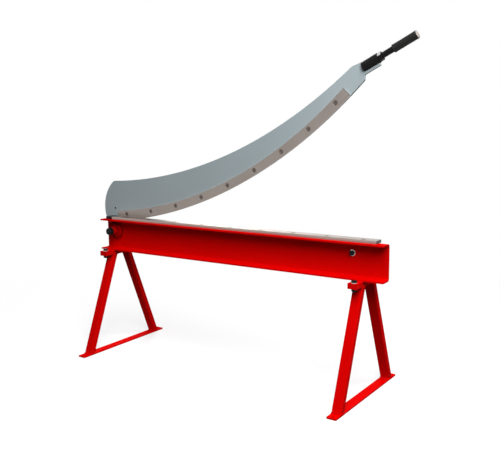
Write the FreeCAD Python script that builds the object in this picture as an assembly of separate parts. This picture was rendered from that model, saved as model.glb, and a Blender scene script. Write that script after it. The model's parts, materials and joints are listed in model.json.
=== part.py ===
import FreeCAD, Part
import math
import os

# Guillotine shear on a floor stand. All sizes are in millimetres.
# Building frame: x = 0 is the axis of the arm's pivot and x grows along the beam, y = 0 is
# the back of the beam's web and the operator stands at minus y, z = 0 is the floor. A "rise"
# is a height above the top of the beam. Every piece is moved along x and y before it is
# written, so that the origin lies on the floor under the middle of the whole shear.

# Beam: a pressed channel, open to the front
BEAM_LENGTH = 1412.75
BEAM_HEIGHT = 140.0
BEAM_DEPTH = 54.0
BEAM_THICKNESS = 6.0
BEAM_INNER_BEND = 6.0
BEAM_UNDERSIDE = 457.5
PIVOT_FROM_BEAM_END = 62.0

# Lower knife on the beam's top flange, and the block at its pivot end
BAR_START_BEFORE_PIVOT = 5.0
BAR_END_INSET = 35.75
BAR_DEPTH = 44.0
BAR_HEIGHT = 12.0
BAR_OVERHANG = 7.0
BLOCK_LENGTH = 36.0
BAR_FIRST_SCREW_INSET = 63.0
BAR_LAST_SCREW_INSET = 57.0
NUT_TO_BEND = 0.2

# Both knives are held at one pitch by the same number of countersunk screws
KNIFE_SCREW_COUNT = 9

# Layers behind the beam, from front to back
KNIFE_CLEARANCE = 0.3
KNIFE_THICKNESS = 10.0
ARM_THICKNESS = 10.0

# Upper knife: the cutting edge and the row of screws are long arcs, hollow side up
KNIFE_START_BEFORE_PIVOT = 4.0
KNIFE_END_INSET = 53.0
KNIFE_END_SLANT = 29.0
KNIFE_STANDS_PROUD = 2.0
KNIFE_ABOVE_SCREWS = 17.0
KNIFE_FIRST_SCREW_INSET = 52.0
EDGE_START_RISE = -12.4
EDGE_END_RISE = 532.0
EDGE_ARC_RADIUS = 2060.0
SCREWS_START_RISE = 23.1
SCREWS_END_RISE = 536.0
SCREWS_ARC_RADIUS = 1902.0

# Arm: its top is a long arc, hollow side up, and its left side a round one
ARM_END_INSET = 114.75
ARM_TOP_END_INSET = 51.0
ARM_TOP_START_RISE = 172.0
ARM_TOP_END_RISE = 637.5
ARM_TOP_ARC_RADIUS = 2023.0
ARM_LEFT_ARC_X = 55.0
ARM_LEFT_ARC_RISE = 48.0
ARM_LEFT_ARC_RADIUS = 155.0
ARM_TOP_LEFT_ROUND = 20.0
ARM_END_ROUND = 9.0
ARM_HEEL_ROUND = 15.0
ARM_HOLE_BEFORE_PIVOT = 33.0
ARM_HOLE_RISE = 45.0
ARM_HOLE_RADIUS = 4.5

# Pivot
HEEL_ABOVE_UNDERSIDE = 5.0
HEEL_PLATE_STEP = 8.0
HEEL_PLATE_BELOW_KNIFE = 6.6
HEEL_SCREW_FROM_RIM = 24.0
BOSS_RADIUS = 41.0
BOSS_HEIGHT = 10.0
HUB_RADIUS = 29.0
HUB_FRONT_Y = -50.0
BUSH_OUTER_RADIUS = 16.0
JOURNAL_RADIUS = 12.0
RUNNING_CLEARANCE = 0.05
FACE_CLEARANCE = 0.1
COLLAR_RADIUS = 30.0
PIVOT_WASHER_RADIUS = 18.5
PIVOT_WASHER_THICKNESS = 3.0
SPRING_OUTER_RADIUS = 22.5
SPRING_THICKNESS = 2.0
SPRING_DISH = 0.8
THREAD_END_BEYOND_NUT = 3.0

# Handle: its axis lies in the middle plane of the arm and rises to the right
HANDLE_START_INSET = 6.1
HANDLE_START_BELOW_TOP = 3.7
HANDLE_ANGLE = 26.6
SOCKET_RADIUS = 19.0
SOCKET_LENGTH = 66.0
SOCKET_SLOT_DEPTH = 6.0
SOCKET_BORE_DEPTH = 50.0
SHOULDER_TOP_OFFSET = 18.5
TONGUE_END_GAP = 4.0
TONGUE_LOWER_OFFSET = 28.5
ROD_WALL = 3.0
ROD_CHAMFER = 1.5
GRIP_RADIUS = 15.5
GRIP_START = 127.0
GRIP_LENGTH = 97.0
GRIP_ROUND = 1.5
GRIP_CAP_THICKNESS = 3.4
GRIP_CAP_SPIGOT = 12.0

# Stop that the arm's lower edge lands on
STOP_INSET = 30.0
STOP_DROP = 46.0
STOP_RING_RADIUS = 15.0
STOP_SLEEVE_RADIUS = 9.0
STOP_RING_GAP = 0.5

# Floor stand: two frames of flat tube, drawn around y = 0 and then moved to their middle
FRAME_WIDTH = 40.0
FRAME_LEFT_INSET = 40.0
FRAME_RIGHT_INSET = 77.75
FRAME_MIDDLE_Y = 2.5
LUG_THICKNESS = 6.0
CROSSPIECE_HEIGHT = 15.0
CROSSPIECE_LENGTH = 210.0
CROSSPIECE_CAP = 2.0
FRAME_BOLT_FROM_END = 15.0
TUBE_WALL = 2.0
LEG_THICKNESS = 25.0
LEG_Y_UNDER_BEAM = 38.0
LEG_Y_AT_FLOOR = 217.0
FOOT_BEYOND_LEG = 49.0
FOOT_THICKNESS = 6.0
FOOT_CORNER_ROUND = 4.0
ANCHOR_HOLE_FROM_END = 13.0
ANCHOR_HOLE_RADIUS = 6.0

# Metric fasteners. Threads, washers and sunk heads are given by their radius, hexagons and
# keys by their width across flats, and a clearance is what a hole adds to the thread's radius.
M20_THREAD = 10.0
M20_FLATS = 30.0
M20_NUT = 16.0
M20_HEAD = 12.5
M12_THREAD = 6.0
M12_FLATS = 19.0
M12_NUT = 10.0
M12_HEAD = 7.5
M12_WASHER = 12.0
M12_WASHER_THICKNESS = 2.5
M12_CLEARANCE = 0.75
M10_THREAD = 5.0
M10_FLATS = 17.0
M10_NUT = 8.0
M10_WASHER = 10.0
M10_WASHER_THICKNESS = 2.0
M10_CLEARANCE = 0.5
M10_SUNK_HEAD = 10.0
M10_SUNK_DEPTH = 5.5
M10_KEY = 6.0
M8_THREAD = 4.0
M8_SUNK_HEAD = 8.0
M8_SUNK_DEPTH = 4.4
M8_KEY = 5.0
THREAD_BEYOND_NUT = 2.0
KEY_SOCKET_DEPTH_SHARE = 0.6
HEXAGON_CHAMFER_SHARE = 0.06

# Below this, two directions or two points count as the same when edges are looked up
NEGLIGIBLE = 0.01

M20 = {"thread": M20_THREAD, "flats": M20_FLATS, "nut": M20_NUT, "head": M20_HEAD}
M12 = {"thread": M12_THREAD, "flats": M12_FLATS, "nut": M12_NUT, "head": M12_HEAD,
       "washer": M12_WASHER, "washer_thickness": M12_WASHER_THICKNESS,
       "clearance": M12_CLEARANCE}
M10 = {"thread": M10_THREAD, "flats": M10_FLATS, "nut": M10_NUT, "washer": M10_WASHER,
       "washer_thickness": M10_WASHER_THICKNESS, "clearance": M10_CLEARANCE,
       "sunk_head": M10_SUNK_HEAD, "sunk_depth": M10_SUNK_DEPTH, "key": M10_KEY}
M8 = {"thread": M8_THREAD, "sunk_head": M8_SUNK_HEAD, "sunk_depth": M8_SUNK_DEPTH,
      "key": M8_KEY}


def corner_radius(across_flats):
    """Distance from a hexagon's middle to its corners."""
    return across_flats / math.sqrt(3)


# Derived planes and points
BEAM_TOP = BEAM_UNDERSIDE + BEAM_HEIGHT
BEAM_START_X = -PIVOT_FROM_BEAM_END
BEAM_END_X = BEAM_START_X + BEAM_LENGTH
WEB_FRONT_Y = -BEAM_THICKNESS
BEND_START = BEAM_THICKNESS + BEAM_INNER_BEND
BAR_START_X = -BAR_START_BEFORE_PIVOT
BAR_END_X = BEAM_END_X - BAR_END_INSET
BAR_BACK_Y = BAR_OVERHANG
BAR_FRONT_Y = BAR_BACK_Y - BAR_DEPTH
BAR_TOP = BEAM_TOP + BAR_HEIGHT
BAR_HOLE_LENGTH = BAR_HEIGHT + BEAM_THICKNESS
BAR_FIRST_SCREW_X = BAR_START_X + BAR_FIRST_SCREW_INSET
BAR_LAST_SCREW_X = BAR_END_X - BAR_LAST_SCREW_INSET
BAR_SCREW_Y = -(BEND_START + NUT_TO_BEND + corner_radius(M10["flats"]))
BLOCK_START_X = BAR_START_X - BLOCK_LENGTH
BLOCK_SCREW_X = (BLOCK_START_X + BAR_START_X) / 2
KNIFE_SCREW_PITCH = (BAR_LAST_SCREW_X - BAR_FIRST_SCREW_X) / (KNIFE_SCREW_COUNT - 1)
KNIFE_FRONT_Y = BAR_BACK_Y + KNIFE_CLEARANCE
ARM_FRONT_Y = KNIFE_FRONT_Y + KNIFE_THICKNESS
ARM_BACK_Y = ARM_FRONT_Y + ARM_THICKNESS
ARM_MIDDLE_Y = (ARM_FRONT_Y + ARM_BACK_Y) / 2
ARM_START_X = ARM_LEFT_ARC_X - ARM_LEFT_ARC_RADIUS
ARM_END_X = BEAM_END_X - ARM_END_INSET
ARM_TOP_END_X = ARM_END_X - ARM_TOP_END_INSET
KNIFE_START_X = -KNIFE_START_BEFORE_PIVOT
KNIFE_LOWER_END_X = ARM_END_X - KNIFE_END_INSET
KNIFE_UPPER_END_X = KNIFE_LOWER_END_X - KNIFE_END_SLANT
KNIFE_FIRST_SCREW_X = KNIFE_START_X + KNIFE_FIRST_SCREW_INSET
PIVOT_RISE = -(BEND_START + BOSS_RADIUS)
PIVOT_Z = BEAM_TOP + PIVOT_RISE
ARM_HEEL_RADIUS = BEAM_HEIGHT + PIVOT_RISE - HEEL_ABOVE_UNDERSIDE
HEEL_PLATE_RADIUS = ARM_HEEL_RADIUS - HEEL_PLATE_STEP
HEEL_PLATE_FLAT_RISE = EDGE_START_RISE - HEEL_PLATE_BELOW_KNIFE
HEEL_SCREW_OFFSET = HEEL_PLATE_RADIUS - HEEL_SCREW_FROM_RIM
STOP_X = ARM_END_X - STOP_INSET
LUG_BOTTOM = BEAM_UNDERSIDE - LUG_THICKNESS
LEG_TOP = LUG_BOTTOM - CROSSPIECE_HEIGHT
CROSSPIECE_END_Y = CROSSPIECE_LENGTH / 2
FRAME_BOLT_Y = CROSSPIECE_END_Y - FRAME_BOLT_FROM_END
FRAME_LEFT_X = BEAM_START_X + FRAME_LEFT_INSET
FRAME_RIGHT_X = BEAM_END_X - FRAME_RIGHT_INSET - FRAME_WIDTH
FOOT_END_Y = LEG_Y_AT_FLOOR + FOOT_BEYOND_LEG
ANCHOR_HOLE_Y = FOOT_END_Y - ANCHOR_HOLE_FROM_END
TONGUE_UPPER_OFFSET = SOCKET_RADIUS - SOCKET_SLOT_DEPTH
TONGUE_LENGTH = SOCKET_LENGTH - TONGUE_END_GAP
ROD_RADIUS = M20["thread"]
ROD_BORE_RADIUS = ROD_RADIUS - ROD_WALL
GRIP_END = GRIP_START + GRIP_LENGTH

UP = FreeCAD.Vector(0, 0, 1)
DOWN = FreeCAD.Vector(0, 0, -1)
FORWARD = FreeCAD.Vector(0, -1, 0)
BACKWARD = FreeCAD.Vector(0, 1, 0)


def vector(x, y, z):
    return FreeCAD.Vector(x, y, z)


def box(x0, x1, y0, y1, z0, z1):
    return Part.makeBox(x1 - x0, y1 - y0, z1 - z0, vector(x0, y0, z0))


def cylinder(radius, start, direction, length):
    return Part.makeCylinder(radius, length, start, direction)


def ring(outer, inner, start, direction, length):
    body = cylinder(outer, start, direction, length)
    return body.cut(cylinder(inner, start, direction, length))


def placed(shape, origin, direction):
    """Move a shape drawn around the z axis so that its z axis points along direction."""
    moved = shape.copy()
    moved.Placement = FreeCAD.Placement(origin, FreeCAD.Rotation(UP, direction))
    return moved


def hole_radius(size):
    """Radius of the clearance hole for a fastener."""
    return size["thread"] + size["clearance"]


def hexagonal_prism(across_flats, bottom, height):
    """Sharp hexagonal prism around the z axis with two of its corners on the y axis."""
    corner = corner_radius(across_flats)
    points = []
    for i in range(7):
        turn = math.radians(60 * i + 30)
        points.append(vector(corner * math.cos(turn), corner * math.sin(turn), bottom))
    return Part.Face(Part.makePolygon(points)).extrude(vector(0, 0, height))


def hexagon(across_flats, height):
    """Hexagonal prism on z = 0 whose corners are chamfered at both ends."""
    limits = cylinder(corner_radius(across_flats), vector(0, 0, 0), UP, height)
    limits = limits.makeChamfer(across_flats * HEXAGON_CHAMFER_SHARE, limits.Edges)
    return hexagonal_prism(across_flats, 0, height).common(limits)


def nut(size):
    return hexagon(size["flats"], size["nut"]).cut(
        cylinder(size["thread"], vector(0, 0, 0), UP, size["nut"]))


def washer(size):
    return ring(size["washer"], size["thread"], vector(0, 0, 0), UP, size["washer_thickness"])


def hex_bolt(size, length):
    """Hexagon-head bolt: underside of the head at z = 0, thread towards minus z."""
    head = hexagon(size["flats"], size["head"])
    return head.fuse(cylinder(size["thread"], vector(0, 0, 0), DOWN, length))


def sunk_cone(size):
    """Countersunk head with its flat top at z = 0."""
    return Part.makeCone(size["thread"], size["sunk_head"], size["sunk_depth"],
                         vector(0, 0, -size["sunk_depth"]), UP)


def sunk_screw(size, length):
    """Countersunk screw with a hexagon socket, flat top at z = 0, thread towards minus z."""
    body = sunk_cone(size).fuse(
        cylinder(size["thread"], vector(0, 0, -size["sunk_depth"]), DOWN,
                 length - size["sunk_depth"]))
    depth = size["sunk_depth"] * KEY_SOCKET_DEPTH_SHARE
    return body.cut(hexagonal_prism(size["key"], -depth, depth))


def repeated(shape, origins, direction):
    return [placed(shape, origin, direction) for origin in origins]


def drilled(body, radius, origins, direction, length):
    """Cut round holes that start at each origin and run along direction."""
    for origin in origins:
        body = body.cut(cylinder(radius, origin, direction, length))
    return body


def countersunk(body, size, origins, direction):
    """Cut countersinks whose mouths lie at each origin and open along direction."""
    for cone in repeated(sunk_cone(size), origins, direction):
        body = body.cut(cone)
    return body


def upright_edges(solid, axis, corners):
    """Edges parallel to an axis whose middles pass through the given corner points."""
    found = []
    for edge in solid.Edges:
        if edge.Curve.TypeId != "Part::GeomLine":
            continue
        along = edge.Vertexes[1].Point.sub(edge.Vertexes[0].Point).normalize()
        if along.cross(axis).Length > NEGLIGIBLE:
            continue
        for corner in corners:
            offset = edge.Vertexes[0].Point.sub(corner)
            across = offset.sub(axis * offset.dot(axis))
            if across.Length < NEGLIGIBLE:
                found.append(edge)
    return found


def rounded(solid, radius, axis, corners):
    return solid.makeFillet(radius, upright_edges(solid, axis, corners))


# Points on the side view of the arm

def side_point(x, rise):
    return vector(x, 0, BEAM_TOP + rise)


def rise_on(arc, x):
    """Rise of the lower half of an arc at x."""
    centre_x, centre_rise, radius = arc
    return centre_rise - math.sqrt(radius ** 2 - (x - centre_x) ** 2)


def point_on(arc, x):
    return side_point(x, rise_on(arc, x))


def arc_between(arc, x_from, x_to):
    middle = (x_from + x_to) / 2
    return Part.Arc(point_on(arc, x_from), point_on(arc, middle), point_on(arc, x_to)).toShape()


def turned_point(circle, degrees):
    centre_x, centre_rise, radius = circle
    turn = math.radians(degrees)
    return side_point(centre_x + radius * math.cos(turn), centre_rise + radius * math.sin(turn))


def circles_meet(first, second, left):
    """The crossing of two circles on the left or right of the line between their centres."""
    x1, z1, r1 = first
    x2, z2, r2 = second
    apart = math.hypot(x2 - x1, z2 - z1)
    along = (apart ** 2 + r1 ** 2 - r2 ** 2) / (2 * apart)
    across = math.sqrt(r1 ** 2 - along ** 2) * (1 if left else -1)
    ux = (x2 - x1) / apart
    uz = (z2 - z1) / apart
    return x1 + along * ux - across * uz, z1 + along * uz + across * ux


def arc_through(start, end, radius):
    """Arc with its hollow side up through two points, each an x and a rise."""
    centre_x, centre_rise = circles_meet((*start, radius), (*end, radius), True)
    return centre_x, centre_rise, radius


def grown(arc, change):
    centre_x, centre_rise, radius = arc
    return centre_x, centre_rise, radius + change


def arm_top_arc():
    return arc_through((ARM_START_X, ARM_TOP_START_RISE), (ARM_TOP_END_X, ARM_TOP_END_RISE),
                       ARM_TOP_ARC_RADIUS)


def arm_left_arc():
    return ARM_LEFT_ARC_X, ARM_LEFT_ARC_RISE, ARM_LEFT_ARC_RADIUS


def cutting_edge_arc():
    return arc_through((KNIFE_START_X, EDGE_START_RISE), (KNIFE_LOWER_END_X, EDGE_END_RISE),
                       EDGE_ARC_RADIUS)


def knife_screw_arc():
    return arc_through((KNIFE_FIRST_SCREW_X, SCREWS_START_RISE),
                       (KNIFE_UPPER_END_X, SCREWS_END_RISE), SCREWS_ARC_RADIUS)


def handle_point(along, offset):
    """Point in the side view: along the handle's axis, offset upwards across it."""
    turn = math.radians(HANDLE_ANGLE)
    start_x = ARM_END_X - HANDLE_START_INSET
    start_rise = ARM_TOP_END_RISE - HANDLE_START_BELOW_TOP
    x = start_x + along * math.cos(turn) - offset * math.sin(turn)
    rise = start_rise + along * math.sin(turn) + offset * math.cos(turn)
    return side_point(x, rise)


def handle_along_at(x, offset):
    """Distance along the handle's axis at which a line at this offset passes x."""
    turn = math.radians(HANDLE_ANGLE)
    return (x - handle_point(0, offset).x) / math.cos(turn)


def handle_axis():
    turn = math.radians(HANDLE_ANGLE)
    return vector(math.cos(turn), 0, math.sin(turn))


def on_handle(along):
    point = handle_point(along, 0)
    return vector(point.x, ARM_MIDDLE_Y, point.z)


def plate(edges, front_y, thickness):
    """Solid plate from a closed side view."""
    face = Part.Face(Part.Wire(Part.__sortEdges__(edges)))
    solid = face.extrude(vector(0, thickness, 0))
    solid.translate(vector(0, front_y, 0))
    return solid


def line(start, end):
    return Part.makeLine(start, end)


# Rows of fastener positions

def bar_screw_points():
    points = []
    for i in range(KNIFE_SCREW_COUNT):
        x = BAR_FIRST_SCREW_X + i * KNIFE_SCREW_PITCH
        points.append(vector(x, BAR_SCREW_Y, BAR_TOP))
    return points


def block_screw_points():
    return [vector(BLOCK_SCREW_X, BAR_SCREW_Y, BAR_TOP)]


def knife_screw_points(y):
    """Equal chords along the screw arc, starting at the pivot end."""
    centre_x, centre_rise, radius = knife_screw_arc()
    start = math.asin((KNIFE_FIRST_SCREW_X - centre_x) / radius)
    step = 2 * math.asin(KNIFE_SCREW_PITCH / (2 * radius))
    points = []
    for i in range(KNIFE_SCREW_COUNT):
        turn = start + i * step
        x = centre_x + radius * math.sin(turn)
        rise = centre_rise - radius * math.cos(turn)
        points.append(vector(x, y, BEAM_TOP + rise))
    return points


def on_pivot(y):
    return vector(0, y, PIVOT_Z)


def on_stop(y):
    return vector(STOP_X, y, BEAM_TOP - STOP_DROP)


def heel_screw_points(y):
    return [vector(-HEEL_SCREW_OFFSET, y, PIVOT_Z), vector(HEEL_SCREW_OFFSET, y, PIVOT_Z)]


def frame_bolt_points(frame_x, z):
    middle = frame_x + FRAME_WIDTH / 2
    return [vector(middle, -FRAME_BOLT_Y, z), vector(middle, FRAME_BOLT_Y, z)]


# Beam and lower knife

def beam_channel():
    outer = box(BEAM_START_X, BEAM_END_X, -BEAM_DEPTH, 0, BEAM_UNDERSIDE, BEAM_TOP)
    floor = BEAM_UNDERSIDE + BEAM_THICKNESS
    ceiling = BEAM_TOP - BEAM_THICKNESS
    hollow = box(BEAM_START_X, BEAM_END_X, -BEAM_DEPTH, WEB_FRONT_Y, floor, ceiling)
    body = outer.cut(hollow)
    along = vector(1, 0, 0)
    body = rounded(body, BEND_START, along,
                   [vector(0, 0, BEAM_UNDERSIDE), vector(0, 0, BEAM_TOP)])
    body = rounded(body, BEAM_INNER_BEND, along,
                   [vector(0, WEB_FRONT_Y, floor), vector(0, WEB_FRONT_Y, ceiling)])
    screws = bar_screw_points() + block_screw_points()
    body = drilled(body, hole_radius(M10), screws, DOWN, BAR_HOLE_LENGTH)
    body = drilled(body, BUSH_OUTER_RADIUS, [on_pivot(0)], FORWARD, BEAM_THICKNESS)
    return drilled(body, hole_radius(M12), [on_stop(0)], FORWARD, BEAM_THICKNESS)


def lower_knife():
    body = box(BAR_START_X, BAR_END_X, BAR_FRONT_Y, BAR_BACK_Y, BEAM_TOP, BAR_TOP)
    body = drilled(body, hole_radius(M10), bar_screw_points(), DOWN, BAR_HEIGHT)
    return countersunk(body, M10, bar_screw_points(), UP)


def end_block():
    body = box(BLOCK_START_X, BAR_START_X, BAR_FRONT_Y, BAR_BACK_Y, BEAM_TOP, BAR_TOP)
    body = drilled(body, hole_radius(M10), block_screw_points(), DOWN, BAR_HEIGHT)
    return countersunk(body, M10, block_screw_points(), UP)


def under_flange(points):
    below = BEAM_TOP - BEAM_THICKNESS
    return [vector(point.x, point.y, below) for point in points]


def bar_screws(points):
    length = BAR_HOLE_LENGTH + M10["nut"] + THREAD_BEYOND_NUT
    return repeated(sunk_screw(M10, length), points, UP)


def bar_nuts(points):
    return repeated(nut(M10), under_flange(points), DOWN)


# Pivot

def pivot_boss():
    return ring(BOSS_RADIUS, BUSH_OUTER_RADIUS, on_pivot(WEB_FRONT_Y), FORWARD, BOSS_HEIGHT)


def pivot_hub():
    start_y = WEB_FRONT_Y - BOSS_HEIGHT
    return ring(HUB_RADIUS, BUSH_OUTER_RADIUS, on_pivot(start_y), FORWARD,
                start_y - HUB_FRONT_Y)


def pivot_bush():
    bore = JOURNAL_RADIUS + RUNNING_CLEARANCE
    return ring(BUSH_OUTER_RADIUS, bore, on_pivot(0), FORWARD, -HUB_FRONT_Y)


def front_washer_y():
    return HUB_FRONT_Y - FACE_CLEARANCE - PIVOT_WASHER_THICKNESS


def rear_washer_y():
    return ARM_BACK_Y + 2 * (SPRING_THICKNESS + SPRING_DISH)


def bolt_head_y():
    return rear_washer_y() + PIVOT_WASHER_THICKNESS


def pivot_bolt():
    """Shouldered bolt: head behind the arm, journal through arm and hub, thread in front."""
    head = placed(hexagon(M20["flats"], M20["head"]), on_pivot(bolt_head_y()), BACKWARD)
    journal_end = HUB_FRONT_Y - FACE_CLEARANCE
    journal = cylinder(JOURNAL_RADIUS, on_pivot(bolt_head_y()), FORWARD,
                       bolt_head_y() - journal_end)
    thread_length = PIVOT_WASHER_THICKNESS + M20["nut"] + THREAD_END_BEYOND_NUT
    thread = cylinder(M20["thread"], on_pivot(journal_end), FORWARD, thread_length)
    return head.fuse([journal, thread]).removeSplitter()


def pivot_washers():
    front = ring(PIVOT_WASHER_RADIUS, M20["thread"], on_pivot(front_washer_y()), BACKWARD,
                 PIVOT_WASHER_THICKNESS)
    rear = ring(PIVOT_WASHER_RADIUS, JOURNAL_RADIUS, on_pivot(rear_washer_y()), BACKWARD,
                PIVOT_WASHER_THICKNESS)
    return [front, rear]


def dished_spring():
    """Conical spring washer with its wide end on z = 0."""
    inner = JOURNAL_RADIUS + RUNNING_CLEARANCE
    outer = SPRING_OUTER_RADIUS
    points = [vector(outer, 0, 0), vector(outer, 0, SPRING_THICKNESS),
              vector(inner, 0, SPRING_THICKNESS + SPRING_DISH), vector(inner, 0, SPRING_DISH),
              vector(outer, 0, 0)]
    face = Part.Face(Part.makePolygon(points))
    return face.revolve(vector(0, 0, 0), UP)


def disc_springs():
    """A pair of spring washers set back to back between arm and rear washer."""
    first = placed(dished_spring(), on_pivot(ARM_BACK_Y), BACKWARD)
    second = placed(dished_spring(), on_pivot(rear_washer_y()), FORWARD)
    return [first, second]


def thrust_collar():
    return ring(COLLAR_RADIUS, JOURNAL_RADIUS, on_pivot(FACE_CLEARANCE), BACKWARD,
                KNIFE_FRONT_Y - FACE_CLEARANCE)


def pivot_nut():
    return placed(nut(M20), on_pivot(front_washer_y()), FORWARD)


# Arm

def heel_circle():
    return 0, PIVOT_RISE, ARM_HEEL_RADIUS


def arm_left_side(heel_x, heel_rise, top_x, top_rise):
    """Left arc from the heel circle up to the top edge, through its leftmost point."""
    return Part.Arc(side_point(heel_x, heel_rise), turned_point(arm_left_arc(), 180),
                    side_point(top_x, top_rise)).toShape()


def arm_heel_round(heel_x, heel_rise):
    """Round heel from its right-hand side, under the pivot, to the left arc."""
    return Part.Arc(turned_point(heel_circle(), 0), turned_point(heel_circle(), -90),
                    side_point(heel_x, heel_rise)).toShape()


def arm_plate():
    upper = arm_top_arc()
    lower = grown(cutting_edge_arc(), -KNIFE_STANDS_PROUD)
    heel_x, heel_rise = circles_meet(heel_circle(), arm_left_arc(), True)
    top_x, top_rise = circles_meet(arm_left_arc(), upper, True)
    shoulder_top = handle_point(0, SHOULDER_TOP_OFFSET)
    tongue_root = handle_point(0, -TONGUE_UPPER_OFFSET)
    tip_top = handle_point(TONGUE_LENGTH, -TONGUE_UPPER_OFFSET)
    tip_low = handle_point(TONGUE_LENGTH, -TONGUE_LOWER_OFFSET)
    root_low = handle_point(handle_along_at(ARM_END_X, -TONGUE_LOWER_OFFSET), -TONGUE_LOWER_OFFSET)
    end_low = point_on(lower, ARM_END_X)
    lug_top = point_on(lower, ARM_HEEL_RADIUS)
    edges = [
        arc_between(upper, top_x, ARM_TOP_END_X),
        line(point_on(upper, ARM_TOP_END_X), shoulder_top),
        line(shoulder_top, tongue_root),
        line(tongue_root, tip_top),
        line(tip_top, tip_low),
        line(tip_low, root_low),
        line(root_low, end_low),
        arc_between(lower, ARM_END_X, ARM_HEEL_RADIUS),
        line(lug_top, turned_point(heel_circle(), 0)),
        arm_heel_round(heel_x, heel_rise),
        arm_left_side(heel_x, heel_rise, top_x, top_rise),
    ]
    body = plate(edges, ARM_FRONT_Y, ARM_THICKNESS)
    body = rounded(body, ARM_TOP_LEFT_ROUND, BACKWARD, [side_point(top_x, top_rise)])
    body = rounded(body, ARM_END_ROUND, BACKWARD, [end_low, root_low])
    body = rounded(body, ARM_HEEL_ROUND, BACKWARD, [lug_top])
    screws = knife_screw_points(ARM_FRONT_Y)
    body = drilled(body, hole_radius(M10), screws, BACKWARD, ARM_THICKNESS)
    body = drilled(body, M8["thread"], heel_screw_points(ARM_FRONT_Y), BACKWARD, ARM_THICKNESS)
    body = drilled(body, JOURNAL_RADIUS, [on_pivot(ARM_FRONT_Y)], BACKWARD, ARM_THICKNESS)
    hole = vector(-ARM_HOLE_BEFORE_PIVOT, ARM_FRONT_Y, BEAM_TOP + ARM_HOLE_RISE)
    return drilled(body, ARM_HOLE_RADIUS, [hole], BACKWARD, ARM_THICKNESS)


def upper_knife():
    lower = cutting_edge_arc()
    upper = grown(knife_screw_arc(), -KNIFE_ABOVE_SCREWS)
    edges = [
        arc_between(lower, KNIFE_START_X, KNIFE_LOWER_END_X),
        line(point_on(lower, KNIFE_LOWER_END_X), point_on(upper, KNIFE_UPPER_END_X)),
        arc_between(upper, KNIFE_UPPER_END_X, KNIFE_START_X),
        line(point_on(upper, KNIFE_START_X), point_on(lower, KNIFE_START_X)),
    ]
    body = plate(edges, KNIFE_FRONT_Y, KNIFE_THICKNESS)
    mouths = knife_screw_points(KNIFE_FRONT_Y)
    body = drilled(body, hole_radius(M10), mouths, BACKWARD, KNIFE_THICKNESS)
    return countersunk(body, M10, mouths, FORWARD)


def upper_knife_screws():
    length = (KNIFE_THICKNESS + ARM_THICKNESS + M10["washer_thickness"] + M10["nut"]
              + THREAD_BEYOND_NUT)
    return repeated(sunk_screw(M10, length), knife_screw_points(KNIFE_FRONT_Y), FORWARD)


def upper_knife_washers():
    return repeated(washer(M10), knife_screw_points(ARM_BACK_Y), BACKWARD)


def upper_knife_nuts():
    return repeated(nut(M10), knife_screw_points(ARM_BACK_Y + M10["washer_thickness"]), BACKWARD)


def heel_plate():
    """Round plate in the knife's layer, cut flat below the knife."""
    body = ring(HEEL_PLATE_RADIUS, JOURNAL_RADIUS, on_pivot(KNIFE_FRONT_Y), BACKWARD,
                KNIFE_THICKNESS)
    flat = BEAM_TOP + HEEL_PLATE_FLAT_RISE
    above = box(-HEEL_PLATE_RADIUS, HEEL_PLATE_RADIUS, KNIFE_FRONT_Y, ARM_FRONT_Y,
                flat, flat + HEEL_PLATE_RADIUS)
    body = body.cut(above)
    mouths = heel_screw_points(KNIFE_FRONT_Y)
    body = drilled(body, M8["thread"], mouths, BACKWARD, KNIFE_THICKNESS)
    return countersunk(body, M8, mouths, FORWARD)


def heel_screws():
    length = KNIFE_THICKNESS + ARM_THICKNESS
    return repeated(sunk_screw(M8, length), heel_screw_points(KNIFE_FRONT_Y), FORWARD)


# Handle

def handle_socket():
    """Tube that straddles the arm's tongue with a slot along its lower side."""
    axis = handle_axis()
    body = cylinder(SOCKET_RADIUS, on_handle(0), axis, SOCKET_LENGTH)
    bore_start = SOCKET_LENGTH - SOCKET_BORE_DEPTH
    body = body.cut(cylinder(ROD_RADIUS, on_handle(bore_start), axis, SOCKET_BORE_DEPTH))
    corners = [handle_point(0, -TONGUE_UPPER_OFFSET),
               handle_point(TONGUE_LENGTH, -TONGUE_UPPER_OFFSET),
               handle_point(TONGUE_LENGTH, -TONGUE_LOWER_OFFSET),
               handle_point(0, -TONGUE_LOWER_OFFSET)]
    edges = [line(corners[i - 1], corners[i]) for i in range(4)]
    return body.cut(plate(edges, ARM_FRONT_Y, ARM_THICKNESS))


def handle_lock_nut():
    return placed(nut(M20), on_handle(SOCKET_LENGTH), handle_axis())


def handle_rod():
    axis = handle_axis()
    start = SOCKET_LENGTH - SOCKET_BORE_DEPTH
    outer = cylinder(ROD_RADIUS, on_handle(start), axis, GRIP_END - start)
    ends = [edge for edge in outer.Edges if edge.Curve.TypeId == "Part::GeomCircle"]
    body = outer.makeChamfer(ROD_CHAMFER, ends)
    return body.cut(cylinder(ROD_BORE_RADIUS, on_handle(start), axis, GRIP_END - start))


def handle_grip():
    axis = handle_axis()
    length = GRIP_END - GRIP_START
    outer = cylinder(GRIP_RADIUS, on_handle(GRIP_START), axis, length)
    ends = [edge for edge in outer.Edges if edge.Curve.TypeId == "Part::GeomCircle"]
    body = outer.makeFillet(GRIP_ROUND, ends)
    return body.cut(cylinder(ROD_RADIUS, on_handle(GRIP_START), axis, length))


def grip_cap():
    axis = handle_axis()
    disc = cylinder(GRIP_RADIUS, on_handle(GRIP_END), axis, GRIP_CAP_THICKNESS)
    spigot = cylinder(ROD_BORE_RADIUS, on_handle(GRIP_END - GRIP_CAP_SPIGOT), axis,
                      GRIP_CAP_SPIGOT)
    return disc.fuse(spigot)


# Stop

def stop_bolt():
    front = WEB_FRONT_Y - M12["washer_thickness"]
    length = stop_nut_y() + M12["nut"] + THREAD_BEYOND_NUT - front
    return placed(hex_bolt(M12, length), on_stop(front), FORWARD)


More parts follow.
